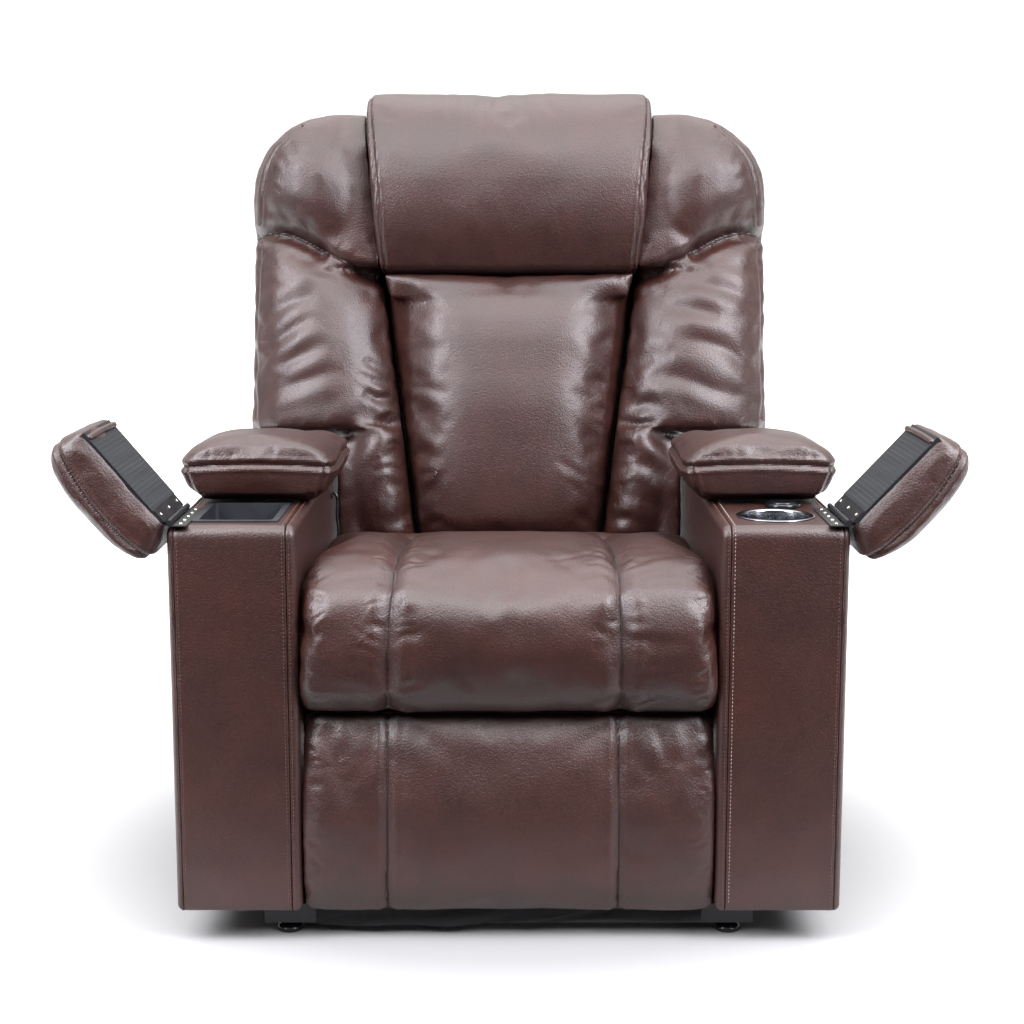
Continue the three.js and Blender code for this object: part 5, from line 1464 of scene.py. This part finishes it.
for name, side in SIDES.items():
    pad = covers[f"arm_pad_cover_{name}"]
    subdivide(pad)
    keep_inside(pad, (-1, -1, PAD_BOTTOM + 0.2 * MM), (1, 1, 1))
    at = points_of(pad)
    inner_rear = ramp(310 * MM, 260 * MM, side * at[:, 0]) * ramp(-80 * MM, 10 * MM, at[:, 1])
    upper = ramp(PAD_BOTTOM + 20 * MM, PAD_BOTTOM + 50 * MM, at[:, 2])
    at[:, 2] += 10 * MM * inner_rear * upper
    set_points(pad, at)
    at, out = points_of(pad), normals_of(pad)
    local_x = at[:, 0] - side * PAD_MIDDLE_X
    seam_z = np.array([pad_seam_height(x) for x in local_x])
    round_side = ramp(0.25, 0.6, np.hypot(out[:, 0], out[:, 1]))
    pattern = Pattern(pad, at[:, [0, 2]], np.ones(len(at)))
    pattern.press_at(at[:, 2] - seam_z, 3.2 * MM, 3.6 * MM, 0.4, round_side)
    front_facing = ramp(0.1, 0.5, -out[:, 1])
    pattern.facing = front_facing
    front_seam = [(side * PAD_MIDDLE_X + x, pad_seam_height(x))
                  for x in np.linspace(-PAD_HALF_WIDTH, PAD_HALF_WIDTH, 9)]
    for spacing, length, width, depth, way, seed in (
            (22, 24, 4.5, 0.6, 1, 101), (60, 26, 9, 0.5, -1, 103)):
        pattern.gather(front_seam, spacing * MM, length * MM, width * MM, depth * MM, sides=(way,),
                       slant=0.3, seed=seed + side)
    for corner in (-1, 1):
        upright = [(side * PAD_MIDDLE_X + corner * (PAD_HALF_WIDTH - 14 * MM), PAD_SEAM),
                   (side * PAD_MIDDLE_X + corner * (PAD_HALF_WIDTH - 30 * MM), PAD_BOTTOM + 6 * MM)]
        pattern.press(upright, 2.4 * MM, 1.8 * MM, 0.6)
    pattern.facing = np.ones(len(at))
    pattern.flat = at[:, [0, 1]]
    pattern.wave(80 * MM, 1.5 * MM, 105 + side, ramp(0.2, 0.8, out[:, 2]))
    pattern.finish()
    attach(pad, "chassis")
    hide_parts(f"arm_pad_{name}")
    stitch(f"arm_pad_stitches_{name}", "chassis", [(pad, pad_ring(side, -6 * MM))])

# %% [markdown]
# ## The lids
#
# Each lid is a stuffed pad on a board, hinged at the outer edge of the arm and shown open. Leather
# wraps right round the board, and a black woven lining covers its underside, with a rolled leather
# lip along its free edge. A seam with a topstitch runs round the boxing, below the dome.

# %% Lid covers
LINING_START, LINING_END = 23 * MM, LID_END - 26 * MM
LINING_SIDE = 7 * MM


def lid_seam(reach):
    """How high the seam runs above the board: it arches, and drops towards the free edge."""
    return 57 * MM - np.where(reach > 55 * MM, 16 * MM * ((reach - 55 * MM) / (110 * MM)) ** 2,
                              8 * MM * ((55 * MM - reach) / (73 * MM)) ** 2)


def lid_ring(side, offset):
    """A line round an open lid, offset from its seam."""
    middle, half = (LID_START + LID_END) / 2, (LID_END - LID_START) / 2
    along, long_half = (LID_FRONT + LID_REAR) / 2, (LID_REAR - LID_FRONT) / 2
    return [on_lid(side, middle + dx, along + dy, float(lid_seam(middle + dx)) + offset)
            for dx, dy in rounded_ring(half, long_half)]


for name, side in SIDES.items():
    lid = covers[f"lid_cover_{name}"]
    subdivide(lid)
    at, out = points_of(lid), normals_of(lid)
    reach, rise = lid_frame(at, side)
    out_reach, out_rise = lid_frame(out + np.array([side * HINGE_X, 0, HINGE_Z]), side)
    round_side = ramp(0.25, 0.6, np.hypot(out[:, 1], out_reach))
    pattern = Pattern(lid, np.stack([reach, rise], axis=1), np.ones(len(at)))
    pattern.press_at(rise - lid_seam(reach), 3 * MM, 3.0 * MM, 0.4, round_side)
    pattern.facing = ramp(0.2, 0.6, -out[:, 1])
    front_seam = [(x * MM, float(lid_seam(x * MM))) for x in (-12, 20, 60, 100, 140, 160)]
    for spacing, length, width, way, seed in ((30, 24, 5, 1, 111), (60, 30, 9, -1, 113)):
        pattern.gather(front_seam, spacing * MM, length * MM, width * MM, 0.5 * MM, sides=(way,),
                       slant=0.3, seed=seed + side)
    pattern.facing = ramp(0.1, 0.5, np.abs(out_rise))
    pattern.flat = np.stack([reach, at[:, 1]], axis=1)
    pattern.wave(90 * MM, 1.6 * MM, 115 + side)
    pattern.finish()
    body = f"lid_{name}"
    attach(lid, body)
    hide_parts(f"lid_pad_{name}")
    stitch(f"lid_stitches_{name}", body, [(lid, lid_ring(side, -5 * MM))])


# %% Linings of the lids and their lips
def grid_sheet(name, columns, rows, place, thickness, material):
    """A closed thin sheet: place gives the point and the outward direction for shares u and v."""
    points, faces = [], []
    for level in (0.0, 1.0):
        for j in range(rows + 1):
            for i in range(columns + 1):
                spot, out = place(i / columns, j / rows)
                points.append(np.array(spot) - np.array(out) * thickness * level)
    count = (columns + 1) * (rows + 1)
    for j in range(rows):
        for i in range(columns):
            a = j * (columns + 1) + i
            b, c, d = a + 1, a + columns + 2, a + columns + 1
            faces += [(a, b, c, d), (count + a, count + d, count + c, count + b)]
    rim = ([(i, 0) for i in range(columns)] + [(columns, j) for j in range(rows)]
           + [(i, rows) for i in range(columns, 0, -1)] + [(0, j) for j in range(rows, 0, -1)])
    index = [j * (columns + 1) + i for i, j in rim]
    for a, b in zip(index, index[1:] + index[:1]):
        faces.append((b, a, count + a, count + b))
    return add_object(name, mesh_from(name, points, faces), material)


def lid_down(side):
    """The direction that points out of the underside of an open lid."""
    return np.array(on_lid(side, 0, 0, -1.0)) - np.array(on_lid(side, 0, 0, 0))


for name, side in SIDES.items():
    down = lid_down(side)

    def lining_point(u, v, side=side, down=down):
        reach = LINING_START + (LINING_END - LINING_START) * u
        along = LID_FRONT + LINING_SIDE + (LID_REAR - LID_FRONT - 2 * LINING_SIDE) * v
        puff = 1.6 * MM * (math.sin(math.pi * u) * math.sin(math.pi * v)) ** 0.4
        ripple = 0.35 * MM * math.sin(9 * math.pi * u + 2 * v) * math.sin(math.pi * v)
        spot = np.array(on_lid(side, reach, along, LID_UNDERSIDE - 0.6 * MM))
        return spot + down * (puff + ripple), down

    lining = grid_sheet(f"lid_lining_{name}", 40, 34, lining_point, 1.2 * MM, black_cloth)
    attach(lining, f"lid_{name}")
    lip_line = [on_lid(side, LINING_END + 3 * MM, LID_FRONT + 9 * MM, LID_UNDERSIDE - 0.5 * MM),
                on_lid(side, LINING_END + 4 * MM, (LID_FRONT + LID_REAR) / 2,
                       LID_UNDERSIDE - 1.2 * MM),
                on_lid(side, LINING_END + 3 * MM, LID_REAR - 9 * MM, LID_UNDERSIDE - 0.5 * MM)]
    lip = tube(f"lid_lip_{name}", lip_line, 4.2 * MM, leather, sides=14)
    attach(lip, f"lid_{name}")

# %% [markdown]
# ## Hardware
#
# Small metal and plastic pieces sell the scale. The strap of each hinge is held by pan-head screws,
# the cup holder is a spun bowl with a flat polished brim, the bin has a rim with a soft edge, and
# the switch is a glossy puck. Each is turned or bent from its real section.

# %% Screws
def screw_mesh(centre, out, radius=2.9 * MM, height=1.5 * MM, around=16):
    """A pan-head screw with a round recess pressed into its dome."""
    out = np.array(out, float) / np.linalg.norm(out)
    across = np.cross(out, (0.0, 1.0, 0.0))
    across /= np.linalg.norm(across)
    other = np.cross(out, across)
    points, faces = [], []
    profile = [(1.0, 0.0), (1.0, 0.35), (0.85, 0.75), (0.5, 1.0), (0.22, 1.0)]
    for wide, up in profile:
        for k in range(around):
            turn = 2 * math.pi * k / around
            spread = radius * wide
            aside = across * math.cos(turn) + other * math.sin(turn)
            points.append(np.array(centre) + spread * aside + out * height * up)
    points.append(np.array(centre) + out * height * 0.35)
    for row in range(len(profile) - 1):
        for k in range(around):
            m = (k + 1) % around
            faces.append((row * around + k, row * around + m, (row + 1) * around + m,
                          (row + 1) * around + k))
    last = (len(profile) - 1) * around
    for k in range(around):
        faces.append((last + k, last + (k + 1) % around, len(points) - 1))
    faces.append(tuple(reversed(range(around))))
    return points, faces


def add_screws(name, places, body):
    points, faces = [], []
    for centre, out in places:
        more, sides = screw_mesh(centre, out)
        faces += [tuple(i + len(points) for i in face) for face in sides]
        points += more
    screws = add_object(name, mesh_from(name, points, faces), nickel)
    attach(screws, body)


LEAF_THICKNESS = 2.0 * MM
for name, side in SIDES.items():
    leaf_low, leaf_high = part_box(f"deck_hinge_{name}")
    leaf_top = DECK_TOP + LEAF_THICKNESS
    spread = np.linspace(leaf_low[1] + 14 * MM, leaf_high[1] - 14 * MM, 5)
    strap_x = side * (HINGE_X - 13 * MM)
    add_screws(f"hinge_screws_{name}", [((strap_x, y, leaf_top), (0, 0, 1)) for y in spread],
               "chassis")
    down = lid_down(side)
    places = [(on_lid(side, 14 * MM, y, 2.8 * MM), down) for y in (spread[0], spread[2], spread[4])]
    add_screws(f"lid_screws_{name}", places, f"lid_{name}")

# %% Cup holder, switch, glides and bin
CUP_BASE = cup_low[2]
cup = lathe("cup_bowl", [
    (0, CUP_BASE), (34 * MM, CUP_BASE), (37 * MM, CUP_BASE + 2 * MM),
    (44.4 * MM, DECK_TOP - 12 * MM), (44.4 * MM, DECK_TOP + 0.3 * MM),
    (50 * MM, DECK_TOP + 0.3 * MM), (51 * MM, DECK_TOP + 0.9 * MM),
    (50.6 * MM, DECK_TOP + 1.7 * MM), (48 * MM, DECK_TOP + 2.2 * MM),
    (45.5 * MM, DECK_TOP + 2.1 * MM),
    (43.6 * MM, DECK_TOP + 1.2 * MM), (43 * MM, DECK_TOP - 1 * MM), (43 * MM, DECK_TOP - 12 * MM),
    (36.2 * MM, CUP_BASE + 5 * MM), (34 * MM, CUP_BASE + 2.4 * MM), (30 * MM, CUP_BASE + 1.6 * MM),
    (0, CUP_BASE + 1.6 * MM)], CUP_MIDDLE, stainless, 128)
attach(cup, "chassis")
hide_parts("cup_holder")

bezel_top = switch_high[2]
bezel = lathe("switch_bezel", [
    (0, switch_low[2]), (20.5 * MM, switch_low[2]), (20.5 * MM, DECK_TOP + 0.3 * MM),
    (22.8 * MM, DECK_TOP + 0.3 * MM), (23.5 * MM, DECK_TOP + 1.2 * MM),
    (23.4 * MM, bezel_top - 2.6 * MM), (22.4 * MM, bezel_top - 0.8 * MM),
    (20.6 * MM, bezel_top), (18.4 * MM, bezel_top - 0.2 * MM),
    (17.35 * MM, bezel_top - 1.0 * MM), (17.35 * MM, DECK_TOP - 6 * MM), (0, DECK_TOP - 6 * MM)],
    SWITCH_MIDDLE, gloss_plastic, 72)
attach(bezel, "chassis")
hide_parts("switch_housing")

button_low, button_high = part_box("switch_button")
button = lathe("switch_cap", [
    (0, button_low[2]), (17 * MM, button_low[2]), (17 * MM, button_high[2] - 2.0 * MM),
    (16.2 * MM, button_high[2] - 1.0 * MM), (14.5 * MM, button_high[2] - 0.4 * MM),
    (9 * MM, button_high[2] - 0.8 * MM), (4 * MM, button_high[2] - 1.1 * MM),
    (0, button_high[2] - 1.2 * MM)], SWITCH_MIDDLE, gloss_plastic, 64)
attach(button, "switch_button")
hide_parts("switch_button")

for end in ("front", "rear"):
    for name in SIDES:
        foot = f"glide_foot_{end}_{name}"
        low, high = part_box(foot)
        middle = ((low[0] + high[0]) / 2, (low[1] + high[1]) / 2, 0.0)
        glide = lathe(f"glide_{end}_{name}", [
            (0, 0), (15 * MM, 0), (16.6 * MM, 0.8 * MM), (17 * MM, 2.4 * MM), (16.8 * MM, 5.5 * MM),
            (15 * MM, 7.6 * MM), (10.5 * MM, 9 * MM), (7.5 * MM, 10 * MM), (7.2 * MM, high[2]),
            (0, high[2])], middle, gloss_plastic, 48)
        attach(glide, "base")
        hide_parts(foot)


def bevelled(name, node, material, body, width):
    """A copy of a CAD node whose sharp edges are broken, as a moulding's are."""
    obj = cad_copy(name, [node], material)
    modifier = obj.modifiers.new("edges", "BEVEL")
    modifier.width = width
    modifier.segments = 3
    modifier.limit_method = "ANGLE"
    modifier.angle_limit = math.radians(35)
    weighted = obj.modifiers.new("shading", "WEIGHTED_NORMAL")
    weighted.keep_sharp = True
    apply_modifiers(obj)
    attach(obj, body)
    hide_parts(node)
    return obj


bevelled("bin_tub", "storage_bin", moulded_plastic, "chassis", 0.8 * MM)

# %% [markdown]
# ## Skirt and lead
#
# A strip of thin black cloth hangs from the front crossbar to hide the frame. It is cut a little
# too long, so it sags and ripples. The switch lead drops from its grommet in the inner side of
# the left arm to the gear motor under the seat. Both its ends are held, so it isn't a free cord.

# %% Skirt
skirt_low, skirt_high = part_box("base_front_skirt")
SKIRT_HALF = skirt_high[0] - 2 * MM
SKIRT_TOP, SKIRT_FRONT = skirt_high[2] - 1 * MM, skirt_low[1]


def skirt_point(u, v):
    x = -SKIRT_HALF + 2 * SKIRT_HALF * u
    hang = 27 * MM + 4 * MM * math.sin(5 * u + 0.6) + 1.5 * MM * math.sin(23 * u)
    fold = 2.0 * MM * v * math.sin(31 * u + 3 * v) + 1.6 * MM * math.sin(11 * u + 5 * v)
    tuck = 4.5 * MM * math.exp(-((u + 0.35 * v - 0.86) / 0.035) ** 2) * v
    return (x, SKIRT_FRONT - 3.0 * MM - fold - tuck, SKIRT_TOP - hang * v), (0.0, -1.0, 0.0)


# The skirt's near-black colour is partly painted shade from under the chair.
skirt = grid_sheet("front_skirt", 160, 14, skirt_point, 0.8 * MM, nonwoven_painted_shade)
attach(skirt, "base")
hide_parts("base_front_skirt")

# %% Lead
LEAD_POINTS = [
    (-263.4, 458, 524), (-261, 458, 524), (-257.8, 457.8, 520.5), (-256.8, 457, 510),
    (-257.6, 456, 490), (-255.6, 455, 468), (-257.2, 452, 440), (-255.8, 449.6, 400),
    (-256, 449, 350), (-254, 448.6, 304), (-246, 446, 268), (-222, 432, 252), (-170, 392, 247),
    (-110, 335, 243), (-62, 272, 239), (-38, 242, 236.5), (-24.6, 240, 236.5),
]
ORIGIN_BEHIND_FRONT = 398
LEAD_RADIUS = 2.4 * MM
lead = tube("switch_lead_cover", [
    (x * MM, (y - ORIGIN_BEHIND_FRONT) * MM, z * MM) for x, y, z in LEAD_POINTS],
    LEAD_RADIUS, gloss_plastic, sides=12)
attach(lead, "chassis")
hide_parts("switch_lead")

# %% [markdown]
# ## The cloth behind the seat
#
# A strip of black cloth closes the gap between the seat and the back, so that nothing falls into
# the mechanism. It is stapled to the rear rail and runs slack to the tube that the back turns
# about, and since that tube stays in its place the cloth keeps its form when the back leans.

# %% Cloth behind the seat
CREVICE_HALF = 247 * MM
CREVICE_FRONT, CREVICE_REAR = 46 * MM, 216 * MM
RAIL_SHARE = 0.24


def crevice_point(u, v):
    slack = math.sin(math.pi * max(0.0, (v - RAIL_SHARE) / (1 - RAIL_SHARE)))
    ripple = (1.6 * math.sin(19 * u + 2 * v) + 1.2 * math.sin(41 * u - 3 * v)) * MM * slack
    return (CREVICE_HALF * (2 * u - 1), CREVICE_FRONT + (CREVICE_REAR - CREVICE_FRONT) * v,
            314.5 * MM - 8.5 * MM * v - 16 * MM * slack + ripple), (0.0, 0.0, 1.0)


# This cloth has the same near-black colour, partly painted shade.
crevice = grid_sheet("rear_crevice_cloth", 120, 40, crevice_point, 1.0 * MM, nonwoven_painted_shade)
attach(crevice, "chassis")

# %% [markdown]
# ## Outside back
#
# The outside back is one leather panel over a board, crowned by a thin layer of wadding. A seam is
# pressed in beside each long edge, and the leather is gathered into it.

# %% Outside back
back_panel = cad_copy("outside_back", ["back_outer_cover"], leather)
remesh(back_panel, 6 * MM, 4)
at, out = points_of(back_panel), normals_of(back_panel)
depth, height = to_back(at)
away = out[:, 1] * LEAN_COS - out[:, 2] * LEAN_SIN
pattern = Pattern(back_panel, np.stack([at[:, 0], height], axis=1), ramp(0.2, 0.9, away))
side_share = np.clip(np.abs(at[:, 0]) / (392 * MM), 0, 1)
low_edge, high_edge = float(height.min()), float(height.max())
height_share = np.clip((height - low_edge) / (high_edge - low_edge), 0, 1)
crown = (1 - side_share ** 4) * np.sin(np.pi * height_share) ** 0.4
pattern.rise += 6 * MM * crown * pattern.facing
for number, side in enumerate(SIDES.values()):
    edge = in_metres([[(side * 380, 350), (side * 380, 700)]])[0]
    pattern.press(edge, 2.6 * MM, 2.2 * MM, 0.5)
    pattern.gather(edge, 60 * MM, 50 * MM, 10 * MM, 1.2 * MM, sides=(side,), slant=0.4,
                   seed=121 + number)
pattern.wave(220 * MM, 2.0 * MM, 123)
pattern.finish()
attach(back_panel, "backrest")
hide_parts("back_outer_cover")

# %% [markdown]
# The edge of the board between the cushions and the outside back is not bare: a strip of leather is
# stapled round it. It is made from the faces of the board's own rim, given the strip's thickness.

# %% Leather round the edge of the back's board
BOARD_EDGE_FROM = 560 * MM
STRIP_THICKNESS = 1.8 * MM
shape = bmesh.new()
shape.from_mesh(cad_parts["back_frame_panel"].data)
bmesh.ops.remove_doubles(shape, verts=shape.verts, dist=1e-5)
shape.normal_update()
not_rim = [face for face in shape.faces
           if abs(face.normal.y * LEAN_COS - face.normal.z * LEAN_SIN) > 0.5
           or face.calc_center_median().z < BOARD_EDGE_FROM]
bmesh.ops.delete(shape, geom=not_rim, context="FACES")
mesh = bpy.data.meshes.new("back_edge_strip")
shape.to_mesh(mesh)
shape.free()
edge_strip = add_object("back_edge_strip", mesh, leather)
modifier = edge_strip.modifiers.new("thickness", "SOLIDIFY")
modifier.thickness = STRIP_THICKNESS
modifier.offset = 1.0
modifier.use_even_offset = True
apply_modifiers(edge_strip)
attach(edge_strip, "backrest")
print("edge strip:", len(edge_strip.data.polygons), "faces")

# %% [markdown]
# ## The steelwork and the wood
#
# The frame, the links, the actuators and the rails keep their CAD solids, whose shapes are right.
# Each only needs the material that the real piece has. The back's board is stained black, so that
# it does not show between the seat and the cushions.

# %% Materials of the CAD nodes
FINISHES = {
    "base_": powder_coat, "lift_arm": powder_coat, "lift_torque": powder_coat,
    "mechanism_": powder_coat, "seat_front_rail": powder_coat, "deck_hinge": powder_coat,
    "lid_board": powder_coat, "back_torque": powder_coat, "back_frame": stained_plywood,
    "seat_rear_rail": plywood, "footrest_board": plywood, "lead_grommet": rubber,
    "guide_link": zinc_plate, "seat_springs": zinc_plate, "footrest_front_link": zinc_plate,
    "footrest_rear_link": zinc_plate, "lift_actuator_rod": zinc_plate,
    "recline_actuator_rod": zinc_plate, "lift_actuator_housing": moulded_plastic,
    "recline_actuator_housing": moulded_plastic,
}
dressed = 0
for node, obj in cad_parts.items():
    for start, material in FINISHES.items():
        if node.startswith(start):
            for slot in obj.material_slots:
                slot.material = material
            dressed += 1
print("CAD nodes with a finish:", dressed)
